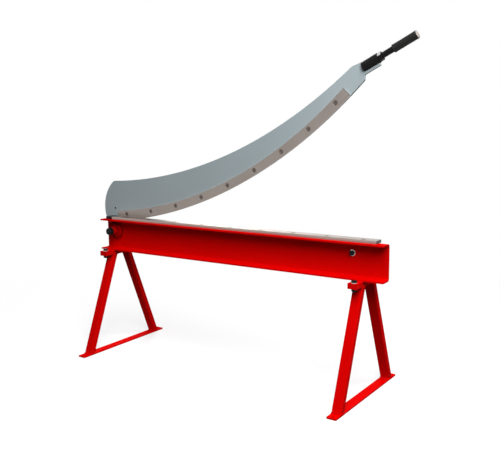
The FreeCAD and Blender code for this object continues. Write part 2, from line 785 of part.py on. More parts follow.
def stop_ring_start_y():
    return ARM_FRONT_Y + STOP_RING_GAP


def stop_nut_y():
    return stop_ring_start_y() + ARM_THICKNESS


def stop_washer():
    return placed(washer(M12), on_stop(WEB_FRONT_Y), FORWARD)


def stop_sleeve():
    return ring(STOP_SLEEVE_RADIUS, M12["thread"], on_stop(0), BACKWARD, stop_ring_start_y())


def stop_ring():
    return ring(STOP_RING_RADIUS, M12["thread"], on_stop(stop_ring_start_y()), BACKWARD,
                ARM_THICKNESS)


def stop_nut():
    return placed(nut(M12), on_stop(stop_nut_y()), BACKWARD)


# Stand, one frame at a time

def frame_lug(frame_x):
    """Flat welded under the beam, which the crosspiece is bolted to."""
    body = box(frame_x, frame_x + FRAME_WIDTH, -CROSSPIECE_END_Y, CROSSPIECE_END_Y,
               LUG_BOTTOM, BEAM_UNDERSIDE)
    return drilled(body, hole_radius(M12), frame_bolt_points(frame_x, BEAM_UNDERSIDE), DOWN,
                   LUG_THICKNESS)


def crosspiece(frame_x):
    end = CROSSPIECE_END_Y - CROSSPIECE_CAP
    outer = box(frame_x, frame_x + FRAME_WIDTH, -end, end, LEG_TOP, LUG_BOTTOM)
    inner = box(frame_x + TUBE_WALL, frame_x + FRAME_WIDTH - TUBE_WALL, -end, end,
                LEG_TOP + TUBE_WALL, LUG_BOTTOM - TUBE_WALL)
    bolts = frame_bolt_points(frame_x, LUG_BOTTOM)
    return drilled(outer.cut(inner), hole_radius(M12), bolts, DOWN, CROSSPIECE_HEIGHT)


def crosspiece_caps(frame_x):
    end = CROSSPIECE_END_Y
    inside = end - CROSSPIECE_CAP
    right = frame_x + FRAME_WIDTH
    return [box(frame_x, right, -end, -inside, LEG_TOP, LUG_BOTTOM),
            box(frame_x, right, inside, end, LEG_TOP, LUG_BOTTOM)]


def leg_y(z):
    """Distance of a leg's centre line from the middle of the frame at height z."""
    share = z / BEAM_UNDERSIDE
    return LEG_Y_AT_FLOOR + (LEG_Y_UNDER_BEAM - LEG_Y_AT_FLOOR) * share


def leg_prism(x0, x1, half_thickness, side):
    """Slanted prism between foot bar and crosspiece; side is -1 in front and 1 behind."""
    tilt = math.atan((LEG_Y_AT_FLOOR - LEG_Y_UNDER_BEAM) / BEAM_UNDERSIDE)
    half = half_thickness / math.cos(tilt)
    top = side * leg_y(LEG_TOP)
    bottom = side * leg_y(FOOT_THICKNESS)
    points = [vector(x0, top - half, LEG_TOP), vector(x0, top + half, LEG_TOP),
              vector(x0, bottom + half, FOOT_THICKNESS), vector(x0, bottom - half, FOOT_THICKNESS),
              vector(x0, top - half, LEG_TOP)]
    return Part.Face(Part.makePolygon(points)).extrude(vector(x1 - x0, 0, 0))


def leg(frame_x, side):
    outer = leg_prism(frame_x, frame_x + FRAME_WIDTH, LEG_THICKNESS / 2, side)
    inner = leg_prism(frame_x + TUBE_WALL, frame_x + FRAME_WIDTH - TUBE_WALL,
                      LEG_THICKNESS / 2 - TUBE_WALL, side)
    return outer.cut(inner)


def foot_bar(frame_x):
    right = frame_x + FRAME_WIDTH
    body = box(frame_x, right, -FOOT_END_Y, FOOT_END_Y, 0, FOOT_THICKNESS)
    corners = [vector(x, y, 0) for x in (frame_x, right) for y in (-FOOT_END_Y, FOOT_END_Y)]
    body = rounded(body, FOOT_CORNER_ROUND, UP, corners)
    middle = frame_x + FRAME_WIDTH / 2
    holes = [vector(middle, -ANCHOR_HOLE_Y, 0), vector(middle, ANCHOR_HOLE_Y, 0)]
    return drilled(body, ANCHOR_HOLE_RADIUS, holes, UP, FOOT_THICKNESS)


def frame_bolts(frame_x):
    length = (M12["washer_thickness"] + LUG_THICKNESS + CROSSPIECE_HEIGHT + M12["nut"]
              + THREAD_BEYOND_NUT)
    points = frame_bolt_points(frame_x, BEAM_UNDERSIDE + M12["washer_thickness"])
    return repeated(hex_bolt(M12, length), points, UP)


def frame_washers(frame_x):
    return repeated(washer(M12), frame_bolt_points(frame_x, BEAM_UNDERSIDE), UP)


def frame_nuts(frame_x):
    return repeated(nut(M12), frame_bolt_points(frame_x, LEG_TOP), DOWN)


def stand_nodes(name, frame_x):
    nodes = {
        "lug_" + name: [frame_lug(frame_x)],
        "crosspiece_" + name: [crosspiece(frame_x)],
        "crosspiece_caps_" + name: crosspiece_caps(frame_x),
        "front_leg_" + name: [leg(frame_x, -1)],
        "rear_leg_" + name: [leg(frame_x, 1)],
        "foot_bar_" + name: [foot_bar(frame_x)],
        "frame_bolts_" + name: frame_bolts(frame_x),
        "frame_washers_" + name: frame_washers(frame_x),
        "frame_nuts_" + name: frame_nuts(frame_x),
    }
    for solids in nodes.values():
        for solid in solids:
            solid.translate(vector(0, FRAME_MIDDLE_Y, 0))
    return nodes


def all_nodes():
    nodes = {
        "beam_channel": [beam_channel()],
        "lower_knife": [lower_knife()],
        "lower_knife_screws": bar_screws(bar_screw_points()),
        "lower_knife_nuts": bar_nuts(bar_screw_points()),
        "end_block": [end_block()],
        "end_block_screw": bar_screws(block_screw_points()),
        "end_block_nut": bar_nuts(block_screw_points()),
        "pivot_boss": [pivot_boss()],
        "pivot_hub": [pivot_hub()],
        "pivot_bush": [pivot_bush()],
        "pivot_bolt": [pivot_bolt()],
        "pivot_nut": [pivot_nut()],
        "pivot_washers": pivot_washers(),
        "disc_springs": disc_springs(),
        "thrust_collar": [thrust_collar()],
        "arm_plate": [arm_plate()],
        "upper_knife": [upper_knife()],
        "upper_knife_screws": upper_knife_screws(),
        "upper_knife_washers": upper_knife_washers(),
        "upper_knife_nuts": upper_knife_nuts(),
        "heel_plate": [heel_plate()],
        "heel_screws": heel_screws(),
        "handle_socket": [handle_socket()],
        "handle_lock_nut": [handle_lock_nut()],
        "handle_rod": [handle_rod()],
        "handle_grip": [handle_grip()],
        "grip_cap": [grip_cap()],
        "stop_bolt": [stop_bolt()],
        "stop_washer": [stop_washer()],
        "stop_sleeve": [stop_sleeve()],
        "stop_ring": [stop_ring()],
        "stop_nut": [stop_nut()],
    }
    nodes.update(stand_nodes("left", FRAME_LEFT_X))
    nodes.update(stand_nodes("right", FRAME_RIGHT_X))
    return nodes


def middle_x():
    """Middle between the arm's left side and the lower rim of the grip's cap."""
    right = handle_point(GRIP_END + GRIP_CAP_THICKNESS, -GRIP_RADIUS).x
    return (ARM_START_X + right) / 2


def main():
    os.makedirs("parts", exist_ok=True)
    shift = vector(-middle_x(), -FRAME_MIDDLE_Y, 0)
    for name, solids in all_nodes().items():
        shape = solids[0] if len(solids) == 1 else Part.makeCompound(solids)
        shape.translate(shift)
        shape.exportStep("parts/" + name + ".step")
        print(name, len(solids), round(shape.Volume), shape.isValid())
    print("moved along x by", round(shift.x, 4), "and along y by", round(shift.y, 4))


main()
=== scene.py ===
# %% [markdown]
# # A hand guillotine shear on its own floor stand
# The real machine cuts sheet metal. A pressed steel channel stands on two frames of flat tube
# and carries a straight lower knife. A long curved arm turns on a thick bolt at the left end
# and brings a second, curved knife down past the first one.
# The shape of every part that works was made in a CAD program and comes in as a fixed frame.
# This lesson dresses that frame: it rounds the edges that a real plate has, makes the screws,
# threads and welds, and gives every surface the finish that it has in the workshop.

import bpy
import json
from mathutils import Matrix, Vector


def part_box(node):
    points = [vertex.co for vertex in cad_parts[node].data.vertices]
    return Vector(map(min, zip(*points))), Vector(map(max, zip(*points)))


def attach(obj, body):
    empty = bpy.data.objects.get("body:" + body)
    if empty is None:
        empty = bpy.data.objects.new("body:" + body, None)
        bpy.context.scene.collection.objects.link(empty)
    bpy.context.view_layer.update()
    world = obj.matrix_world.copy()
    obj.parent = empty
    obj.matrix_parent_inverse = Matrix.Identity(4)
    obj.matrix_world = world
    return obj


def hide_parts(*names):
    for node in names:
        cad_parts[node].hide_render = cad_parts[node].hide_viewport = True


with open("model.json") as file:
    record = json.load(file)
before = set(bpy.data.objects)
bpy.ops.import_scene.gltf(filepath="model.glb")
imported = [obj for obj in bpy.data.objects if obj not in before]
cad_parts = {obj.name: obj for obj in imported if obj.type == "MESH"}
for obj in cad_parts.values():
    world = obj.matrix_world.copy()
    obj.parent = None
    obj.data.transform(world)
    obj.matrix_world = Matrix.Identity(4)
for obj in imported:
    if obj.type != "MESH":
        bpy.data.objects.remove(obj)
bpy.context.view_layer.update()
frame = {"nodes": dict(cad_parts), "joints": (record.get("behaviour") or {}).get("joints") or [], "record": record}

# %% [markdown]
# Blender works in metres, and a workshop drawing in millimetres. One constant joins the two,
# so that every size below can be read as it would stand on the drawing.

# %% Units and directions
import json
import math

import bmesh
import bpy
from mathutils import Matrix, Vector

MM = 0.001
UP, DOWN = Vector((0, 0, 1)), Vector((0, 0, -1))
FRONT, BACK = Vector((0, -1, 0)), Vector((0, 1, 0))
HANDLE_ANGLE = math.radians(26.6)
ALONG_HANDLE = Vector((math.cos(HANDLE_ANGLE), 0, math.sin(HANDLE_ANGLE)))
scene = bpy.context.scene

# %% [markdown]
# ## Finishes
# A shader is a tree of nodes. Writing each node, its settings and its links by hand takes many
# lines, so one small helper does all three. A colour is written as it looks on a screen, in
# six hex digits, and a second helper turns it into the linear light that the renderer counts in.

# %% Helpers for node trees
def add(tree, kind, links=None, **settings):
    """A new node: its settings, then its inputs by name or number.
    An input takes a value, a socket, or a node, which stands for its first output in use."""
    node = tree.nodes.new(kind)
    for name, value in settings.items():
        setattr(node, name, value)
    for name, value in (links or {}).items():
        if isinstance(value, bpy.types.Node):
            value = next(output for output in value.outputs if output.enabled)
        if isinstance(value, bpy.types.NodeSocket):
            tree.links.new(value, node.inputs[name])
        else:
            node.inputs[name].default_value = value
    return node


def linear(code):
    """The linear colour for six hex digits of sRGB."""
    parts = [int(code[i:i + 2], 16) / 255 for i in (0, 2, 4)]
    return (*[c / 12.92 if c <= 0.04045 else ((c + 0.055) / 1.055) ** 2.4 for c in parts], 1)


def per(millimetres):
    """The scale of a pattern on Object coordinates whose features are this wide."""
    return 1 / (millimetres * MM)


print("mid grey 808080 is", round(linear("808080")[0], 3), "in linear light")

# %% [markdown]
# Every finish of this machine is built alike, from noises as wide as its real features. One
# colour lies at the bottom, and each further colour comes in where its pattern is strong. One
# pattern moves the roughness between two values, and a fine one gives the relief.

# %% How a finish starts and ends
FINISHES = {}
METAL = {"Metallic": 1.0}


def blank(collection, name):
    """A new material or world, and its node tree with nothing in it."""
    thing = collection.new(name)
    thing.use_nodes = True
    thing.node_tree.nodes.clear()
    return thing, thing.node_tree


def new_finish(slot, name, *sizes):
    """Start the material of a slot: its tree, the Object coordinates, and a noise for each
    pair of width in millimetres and detail."""
    FINISHES[slot], tree = blank(bpy.data.materials, name)
    place = add(tree, "ShaderNodeTexCoord").outputs["Object"]
    return tree, place, *[add(tree, "ShaderNodeTexNoise", {
        "Vector": place, "Scale": per(width), "Detail": detail}) for width, detail in sizes]


def close_finish(tree, colour, layers, gloss, relief, shine):
    """Join the patterns in one shader.
    layers: pattern and colour; gloss: pattern, its range and the range of roughness, or just
    the roughness; relief: pattern, strength and height in millimetres."""
    colour = linear(colour)
    for pattern, code in layers:
        colour = add(tree, "ShaderNodeMix", {0: pattern, 6: colour, 7: linear(code)},
                     data_type="RGBA")
    if isinstance(gloss, tuple):
        gloss = add(tree, "ShaderNodeMapRange", dict(enumerate(gloss)))
    pattern, strength, height = relief
    bump = add(tree, "ShaderNodeBump", {"Height": pattern, "Strength": strength,
                                        "Distance": height * MM})
    shader = add(tree, "ShaderNodeBsdfPrincipled", {
        "Base Color": colour, "Roughness": gloss, "Normal": bump, **shine})
    add(tree, "ShaderNodeOutputMaterial", {"Surface": shader})
    print("finish", len(FINISHES), list(FINISHES)[-1], "is made of", len(tree.nodes), "nodes")
    return shader, bump


print("a pattern 2.5 mm wide has the scale", per(2.5))

# %% [markdown]
# ### Red powder coat
# The stand is sprayed with dry polyester powder that melts in an oven. It flows almost level
# but keeps a faint orange peel a few millimetres wide, so reflections wobble a little, and the
# film is a touch thicker and darker in some places than in others. The red itself is deep and
# reflects little white light, so its shine is left to a thin clear coat.

# %% Finish: red powder coat
tree, _, cloud, peel, patch = new_finish(
    "red_paint", "Powder coat, gloss red, sprayed and baked", (180, 3), (2.5, 2), (40, 4))
shader, bump = close_finish(
    tree, "D20101", [(cloud, "E00302")], (patch, 0.3, 0.7, 0.3, 0.4), (peel, 0.35, 0.15),
    {"Specular IOR Level": 0.0, "Coat Weight": 0.025, "Coat Roughness": 0.16})
tree.links.new(bump.outputs[0], shader.inputs["Coat Normal"])

# %% [markdown]
# ### The same coat on turned steel
# The hub and its disc are machined. Their coat is a deeper red than the beam's, and lathe
# rings show as fine waves.

# %% Finish: deeper red powder coat
tree, place, cloud = new_finish(
    "deeper_red", "Powder coat, gloss red, thin over turned steel", (30, 3))
along_axis = add(tree, "ShaderNodeMapping", {"Vector": place, "Scale": (0.02, 1.0, 0.02)})
rings = add(tree, "ShaderNodeTexNoise", {"Vector": along_axis, "Scale": per(1), "Detail": 2.0})
close_finish(tree, "A20101", [(cloud, "B00302")], (cloud, 0.3, 0.7, 0.34, 0.44),
             (rings, 0.3, 0.05),
             {"Specular IOR Level": 0.0, "Coat Weight": 0.025, "Coat Roughness": 0.2})

# %% [markdown]
# ### Blue-grey powder coat
# The arm is coated in the same way, but the powder has a satin finish: it scatters light more
# widely, so the plate looks almost evenly lit, with only a slow drift of tone along it. Faces
# that look down are painted a dark blue-grey, as painted shade under the plate. The Normal
# output says which way a face looks, and its Z is negative under the plate.

# %% Finish: grey powder coat
# Painted shade under a plate starts where a face looks this far down, and is full at the second value.
SHADE_BELOW_FROM, SHADE_BELOW_FULLY = -0.3, -0.6


def facing_and_shade_below(tree):
    """The direction that a face looks in, and a mask of painted shade that is strong where that is down."""
    facing = add(tree, "ShaderNodeSeparateXYZ", {
        0: add(tree, "ShaderNodeTexCoord").outputs["Normal"]})
    return facing, add(tree, "ShaderNodeMapRange", {
        "Value": facing.outputs["Z"], "From Min": SHADE_BELOW_FROM, "From Max": SHADE_BELOW_FULLY})


tree, _, cloud, peel, grain = new_finish(
    "grey_paint", "Powder coat, satin blue-grey, sprayed and baked", (220, 3), (3, 2), (0.7, 2))
# Painted shade: faces that look down get the dark blue-grey 3F4648 mixed in.
_, painted_shade_below = facing_and_shade_below(tree)
close_finish(tree, "9EAAAE", [(cloud, "A6B2B6"), (painted_shade_below, "3F4648")], (grain, 0, 1, 0.42, 0.56),
             (peel, 0.2, 0.06),
             {"Specular IOR Level": 0.05, "Coat Weight": 0.08, "Coat Roughness": 0.35})

# %% [markdown]
# ### Ground tool steel
# Both knives are ground on a surface grinder. The wheel leaves fine parallel lines, which
# stretch each highlight across them. Real lines are a few hundredths of a millimetre apart,
# far too fine to draw, so they are drawn half a millimetre apart and many times longer than
# wide. Bands of slightly different grey, a few millimetres wide and much longer than a hand,
# show where the wheel dwelt. The ends of the lower knife were only sawn and are darker. Its
# underside is darkened too, as painted shade.

# %% Finish: ground steel
LINE_STRETCH, END_FROM, END_FULLY = 0.012, 0.8, 0.95


def close_ground(tree, way, cloud, greys, rough, layers=()):
    """Close a ground finish; its lines run where the first part of a vector changes slowly."""
    lines, bands = [add(tree, "ShaderNodeTexNoise", {
        "Vector": way, "Scale": per(width), "Detail": detail})
        for width, detail in ((0.5, 3), (4, 2))]
    close_finish(tree, greys[0], [(bands, greys[1]), (cloud, greys[2]), *layers],
                 (lines, 0.3, 0.7, *rough), (lines, 0.5, 0.04), METAL)


tree, place, cloud = new_finish(
    "ground_steel", "Tool steel, surface ground along its length", (90, 4))
stretch = add(tree, "ShaderNodeMapping", {"Vector": place, "Scale": (LINE_STRETCH, 1.0, 1.0)})
facing, painted_shade_below = facing_and_shade_below(tree)
sideways = add(tree, "ShaderNodeMath", {0: facing.outputs["X"]}, operation="ABSOLUTE")
sawn = add(tree, "ShaderNodeMapRange", {"Value": sideways, "From Min": END_FROM,
                                        "From Max": END_FULLY})
# The sawn ends are darker steel. The underside's share of the dark 4E4A47 is painted shade.
sawn_ends_and_shade_below = add(tree, "ShaderNodeMath", {0: sawn, 1: painted_shade_below}, operation="MAXIMUM")
close_ground(tree, stretch, cloud, ("A69D96", "B9B1AA", "A2968E"), (0.3, 0.46),
             [(sawn_ends_and_shade_below, "4E4A47")])

# %% [markdown]
# ### Blackened steel
# Bolts, nuts, the heel plate, the socket and the rod are dipped in hot salts that grow a thin
# black oxide, then oiled. The skin is dark with a weak, slightly blue-grey sheen, and forged or
# turned faces show through it as fine roughness.

# %% Finish: blackened steel
tree, _, skin, grit = new_finish(
    "black_steel", "Steel, hot blackened and oiled", (12, 5), (0.8, 3))
close_finish(tree, "101010", [(skin, "1A1A1B")], (skin, 0.3, 0.7, 0.33, 0.5), (grit, 0.4, 0.06),
             {"Specular IOR Level": 0.05, "Coat Weight": 0.08, "Coat Roughness": 0.2})

# %% [markdown]
# ### Bare steel screws
# The knife screws are hardened steel left in its own colour. Handling has browned them a
# little, so they sit between the bright knives and the black bolts.

# %% Finish: bare hardened steel
tree, _, skin, grit = new_finish(
    "screw_steel", "Steel, hardened and left bare", (5, 5), (0.6, 3))
close_finish(tree, "5C534E", [(skin, "746A64")], (skin, 0, 1, 0.36, 0.52), (grit, 0.3, 0.04),
             METAL)

# %% [markdown]
# ### Zinc plate
# The washers of stand and knife, the disc springs and the thrust collar are bright zinc: a thin
# crystalline layer that mirrors its surroundings softly and is a little cloudy from the bath.

# %% Finish: zinc plate
tree, _, cloud, grit = new_finish("zinc_steel", "Steel, bright zinc plated", (9, 4), (0.6, 3))
close_finish(tree, "B9BBB9", [(cloud, "D2D3CF")], (cloud, 0, 1, 0.24, 0.42), (grit, 0.3, 0.04),
             METAL)

# %% [markdown]
# ### Turned bronze
# The bush that the pivot bolt turns in shows only as a thin ring. Its rings come from the
# lathe, so the pattern is read from the distance to the pivot's axis.

# %% Finish: turned bronze
PIVOT = Vector(frame["joints"][0]["pos_m"])
tree, place, tarnish = new_finish("bronze", "Bronze, turned", (6, 4))
centred = add(tree, "ShaderNodeMapping", {"Vector": place, "Location": -PIVOT,
                                          "Scale": (1.0, 0.0, 1.0)})
radius = add(tree, "ShaderNodeVectorMath", {0: centred}, operation="LENGTH")
rings = add(tree, "ShaderNodeTexNoise", {"W": radius, "Scale": per(0.4)}, noise_dimensions="1D")
close_finish(tree, "A97B45", [(tarnish, "C4985C")], 0.34, (rings, 0.4, 0.05), METAL)

# %% [markdown]
# ### Soft black vinyl
# The grip is dipped or moulded vinyl and the stop's ring is rubber. Both are matt, with a
# leathery grain that catches a broad grey highlight.

# %% Finish: black vinyl
tree, place, patch = new_finish("black_rubber", "Soft vinyl, black, moulded", (14, 3))
grain = add(tree, "ShaderNodeTexVoronoi", {"Vector": place, "Scale": per(1.4)})
close_finish(tree, "101010", [(patch, "181817")], (patch, 0, 1, 0.5, 0.66), (grain, 0.25, 0.12),
             {"Specular IOR Level": 0.2})

# %% [markdown]
# ### Grey plastic
# The plug in the grip's end is a plain moulding with a fine spark-eroded grain from its mould.

# %% Finish: grey plastic
tree, _, grain, patch = new_finish(
    "grey_plastic", "Plastic, warm grey, moulded", (0.7, 3), (10, 3))
close_finish(tree, "857B74", [(patch, "91877F")], (patch, 0, 1, 0.42, 0.56), (grain, 0.3, 0.05),
             {})

# %% [markdown]
# ### Painting the frame
# The record says which slot each CAD node takes its finish from. Its objects keep their own
# mesh, and only their material slot is filled.

# %% Finishes on the CAD nodes
SLOTS = {part["node"]: part["material_slot"] for part in frame["record"]["subparts"]}
for node, thing in frame["nodes"].items():
    thing.data.materials.clear()
    thing.data.materials.append(FINISHES[SLOTS[node]])
print("painted", len(SLOTS), "nodes in", len(set(SLOTS.values())), "finishes")

# %% [markdown]
# ## Pieces
# Every new piece ends in the same way: it gets its finish, rides on the body that carries it,
# and says which CAD nodes it stands for. The body is asked from the frame, so that no piece
# can be put on the wrong one.

# %% Handing a piece over
BODY_OF = {node: body for body, nodes in frame["record"]["behaviour"]["bodies"].items()
           for node in nodes}


def hand_over(piece, like, nodes=()):
    """Give a piece the finish and body of a CAD node, and let it stand for some nodes."""
    if not piece.data.materials:
        piece.data.materials.append(FINISHES[SLOTS[like]])
    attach(piece, BODY_OF[like])
    if nodes:
        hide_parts(*nodes)
    return piece


def in_scene(name, data):
    """A new object at the origin for a mesh, a camera or a lamp."""
    thing = bpy.data.objects.new(name, data)
    scene.collection.objects.link(thing)
    return thing


def mesh_piece(name, points=(), faces=(), edges=()):
    """A new object with a mesh of these points in metres."""
    mesh = bpy.data.meshes.new(name)
    mesh.from_pydata([tuple(point) for point in points], list(edges), list(faces))
    return in_scene(name, mesh)


def shade(piece, sharp_from=25):
    """Smooth shading that stays sharp where two faces meet at more than this many degrees."""
    for face in piece.data.polygons:
        face.use_smooth = True
    piece.data.set_sharp_from_angle(angle=math.radians(sharp_from))
    return piece


print("pieces can ride on:", sorted(set(BODY_OF.values())))

# %% [markdown]
# ### Plates with broken edges
# No cut plate has a knife-sharp edge: a file, a grinder or a thick coat of powder rounds it by
# a few tenths of a millimetre, and that thin rounding is what catches the light. The CAD mesh
# is loose triangles, so a copy is merged and its flat areas joined into single faces first.
# Then a Bevel modifier rounds every edge that turns by more than 35 degrees, and a Weighted
# Normal modifier keeps the large faces flat to the light.

# %% Plates and blocks with rounded edges
SAME_POINT, FLAT_ENOUGH, REAL_EDGE = 0.005 * MM, math.radians(0.4), math.radians(35)


def break_edges(piece, width):
    """Round each real edge by a width in millimetres, and keep flat faces flat to light."""
    shade(piece, 180)
    bevel = piece.modifiers.new("Broken edges", "BEVEL")
    bevel.width, bevel.segments = width * MM, 2
    bevel.limit_method, bevel.angle_limit = "ANGLE", REAL_EDGE
    bevel.miter_outer = "MITER_ARC"
    normals = piece.modifiers.new("Flat faces stay flat", "WEIGHTED_NORMAL")
    normals.keep_sharp = True
    return piece


def merged(node):
    """An editable copy of a CAD node's loose triangles, joined at their corners."""
    shape = bmesh.new()
    shape.from_mesh(frame["nodes"][node].data)
    bmesh.ops.remove_doubles(shape, verts=shape.verts, dist=SAME_POINT)
    return shape


def eased(node, width):
    """A copy of a CAD node with its edges rounded by a width in millimetres."""
    shape = merged(node)
    bmesh.ops.dissolve_limit(shape, angle_limit=FLAT_ENOUGH, verts=shape.verts,
                             edges=shape.edges)
    piece = mesh_piece(node + "_eased")
    shape.to_mesh(piece.data)
    shape.free()
    return hand_over(break_edges(piece, width), node, [node])


EASED = {"beam_channel": 0.7, "lower_knife": 0.35, "end_block": 0.6, "arm_plate": 0.8,
         "heel_plate": 0.6, "thrust_collar": 0.5,
         "lug_left": 0.7, "lug_right": 0.7, "foot_bar_left": 0.7, "foot_bar_right": 0.7,
         "handle_socket": 0.8, "stop_sleeve": 0.5}
for node, width in EASED.items():
    piece = eased(node, width)
    print(f"{node}: {len(piece.data.polygons)} faces, edges rounded {width} mm")

# %% [markdown]
# ## Screws, nuts and washers
# Everything here that was turned on a lathe or headed in a die is a stack of rings around an
# axis: each ring has a height and a radius. A radius may also be a rule that depends on the
# angle, which is all that a hexagon or a thread needs. Where a hexagon's corners are cut by a
# cone, the smaller of the two radii wins, and that draws the curved edges of a real nut.

# %% Stacks of rings
SEGMENTS, RINGS_PER_PITCH = 48, 6


def stacked(name, outlines, closed=False):
    """Join outlines that have the same number of points, each to the next one.
    A closed stack joins its last one to its first, as around a hole; others get end faces."""
    faces, count, last = [], len(outlines[0]), len(outlines) - 1
    for low, high in [(k, k + 1) for k in range(last)] + ([(last, 0)] if closed else []):
        for i in range(count):
            j = (i + 1) % count
            faces.append((low * count + i, low * count + j, high * count + j, high * count + i))
    if not closed:
        faces += [tuple(reversed(range(count))), tuple(range(last * count, (last + 1) * count))]
    return mesh_piece(name, [point for outline in outlines for point in outline], faces)


def turned(name, rings, closed=False):
    """Stack (height, radius) rings in millimetres on z; a radius may depend on the angle."""
    outlines, turn = [], [2 * math.pi * i / SEGMENTS for i in range(SEGMENTS)]
    for height, radius in rings:
        radii = [radius(angle) if callable(radius) else radius for angle in turn]
        outlines.append([(r * MM * math.cos(angle), r * MM * math.sin(angle), height * MM)
                         for angle, r in zip(turn, radii)])
    return shade(stacked(name, outlines, closed))


def hexagon(flats):
    """Radius of a hexagon at an angle, from its width across flats."""
    return lambda angle: flats / 2 / math.cos((angle + math.pi / 6) % (math.pi / 3)
                                              - math.pi / 6)


def cut_back(outline, most):
    """The same outline, but no radius above the one that a cone leaves at this height."""
    return lambda angle: min(outline(angle), most)


def thread(bottom, top, radius, pitch, depth):
    """Rings of a screw thread: the ridge climbs by one pitch in each turn."""
    rings = []
    for i in range(round((top - bottom) / pitch * RINGS_PER_PITCH) + 1):
        height = bottom + i * pitch / RINGS_PER_PITCH
        rings.append((height, lambda angle, h=height: radius - depth * abs(
            2 * ((h / pitch - angle / (2 * math.pi)) % 1) - 1)))
    return rings


print("a 17 mm nut is", round(2 * hexagon(17)(math.radians(30)), 2), "mm across its corners")

# %% [markdown]
# The sizes below are the metric ones. Each piece is drawn with its outer face on z = 0 and the
# rest of it below, so that one set of points, measured on the CAD, can seat any of them.

# %% Prototypes
THREADS = {"M8": (8, 1.25), "M10": (10, 1.5), "M12": (12, 1.75), "M20": (20, 2.5)}
THREAD_DEPTH_SHARE = 0.54
NUT_CONE, CONE_START, CONE_END, CONE_STEPS = math.tan(math.radians(30)), 0.475, 0.578, 4
NEAR_AXIS = 0.02
SUNK_HEADS = {"M8": (8, 4.4, 5), "M10": (10, 5.5, 6)}  # radius, depth and key of the head
HEADS = {"M12": (19, 7.5)}  # width across flats and height, as for the nuts
NUTS = {"M10": (17, 8), "M12": (19, 10), "M20": (30, 16)}
WASHERS = {"M10": (10, 2, 5.2), "M12": (12, 2.5, 6.2)}  # outer radius, thickness, inner radius


def corner_cuts(flats, z, upward):
    """Rings that a 30 degree cone leaves on a hexagon's end, from the end face inwards."""
    first, last = flats * CONE_START, flats * CONE_END
    rings = []
    for i in range(CONE_STEPS + 1):
        most = first + (last - first) * i / CONE_STEPS
        rings.append((z - upward * (most - first) * NUT_CONE, cut_back(hexagon(flats), most)))
    return rings


def thread_end(size, bottom, length):
    """A chamfered thread end, from its flat tip upwards."""
    across, pitch = THREADS[size]
    depth = pitch * THREAD_DEPTH_SHARE
    tip = [(bottom, across / 2 - depth * 1.3), (bottom + depth * 0.7, across / 2 - depth * 0.6)]
    return tip + thread(bottom + depth * 0.8, bottom + length, across / 2, pitch, depth)


def sunk_screw(size, length, threaded):
    """Countersunk screw with a hexagon socket, its head in the plane z = 0."""
    across, (head, head_depth, key) = THREADS[size][0] / 2, SUNK_HEADS[size]
    return turned(f"sunk_screw_{size}_{round(length)}", [
        *thread_end(size, -length, threaded), (-length + threaded + 0.3, across),
        (-head_depth, across), (-0.5, head - 0.45), (-0.28, head - 0.25), (-0.12, head - 0.35),
        (-0.1, key * 0.72), (-0.5, key * 0.6), (-0.7, hexagon(key)),
        (-head_depth * 0.62, hexagon(key)), (-head_depth * 0.75, NEAR_AXIS)])


def hex_nut(size):
    """Hexagon nut, chamfered on both ends, with the start of its thread cut away."""
    across, (flats, height) = THREADS[size][0] / 2, NUTS[size]
    return turned(f"nut_{size}", [
        (-height + 0.6, across - 0.1), (-height, across + 0.5),
        *corner_cuts(flats, -height, -1), *reversed(corner_cuts(flats, 0, 1)),
        (0, across + 0.5), (-0.6, across - 0.1)], closed=True)


def flat_washer(size):
    """Stamped washer: the punch rounds one edge a little."""
    outer, thickness, inner = WASHERS[size]
    return turned(f"washer_{size}", [
        (-thickness, inner), (-thickness, outer - 0.3), (-thickness + 0.3, outer),
        (-0.45, outer), (-0.12, outer - 0.14), (0, outer - 0.5), (0, inner + 0.2),
        (-0.2, inner)], closed=True)


def hex_bolt(size, length, threaded):
    """Hexagon bolt with its head's top in the plane z = 0; the top is slightly dished."""
    across, (flats, head) = THREADS[size][0] / 2, HEADS[size]
    return turned(f"bolt_{size}_{round(length)}", [
        *thread_end(size, -length, threaded), (-length + threaded + 0.3, across),
        (-head - 0.02, across), (-head, flats * 0.47), (-head + 0.4, flats * 0.475),
        (-head + 0.42, hexagon(flats)), *reversed(corner_cuts(flats, 0, 1)),
        (-0.05, flats * 0.44), (-0.35, flats * 0.4), (-0.35, NEAR_AXIS)])


print("thread depth of M12:", round(THREADS["M12"][1] * THREAD_DEPTH_SHARE, 2), "mm")

# %% [markdown]
# ### Where they sit
# Each screw of a node is one island of its mesh. The end that faces outwards gives the height,
# and the middle of the island's extent in the two other directions gives the axis.

# %% Measuring the seats
def islands(node):
    """Corner points of each separate solid in a CAD node."""
    shape = merged(node)
    waiting, found = set(shape.verts), []
    while waiting:
        front = [waiting.pop()]
        island = list(front)
        while front:
            vert = front.pop()
            near = {edge.other_vert(vert) for edge in vert.link_edges} & waiting
            waiting -= near
            front += near
            island += near
        found.append([vert.co.copy() for vert in island])
    shape.free()
    return sorted(found, key=lambda island: (round(min(p.x for p in island), 4),
                                             min(p.y for p in island)))


def seats(node, axis):
    """Where a node's solids end along an axis, and how long they are, in metres."""
    across = axis.orthogonal().normalized()
    other = axis.cross(across)
    found, length = [], 0
    for island in islands(node):
        spans = [[direction.dot(p) for p in island] for direction in (across, other, axis)]
        middle = [(min(span) + max(span)) / 2 for span in spans[:2]]
        found.append(across * middle[0] + other * middle[1] + axis * max(spans[2]))
        length = max(spans[2]) - min(spans[2])
    return found, length


knife_seats, screw_length = seats("upper_knife_screws", FRONT)
print(len(knife_seats), "knife screws,", round(screw_length / MM, 1), "mm long, pitch",
      round((knife_seats[1] - knife_seats[0]).length / MM, 2), "mm")

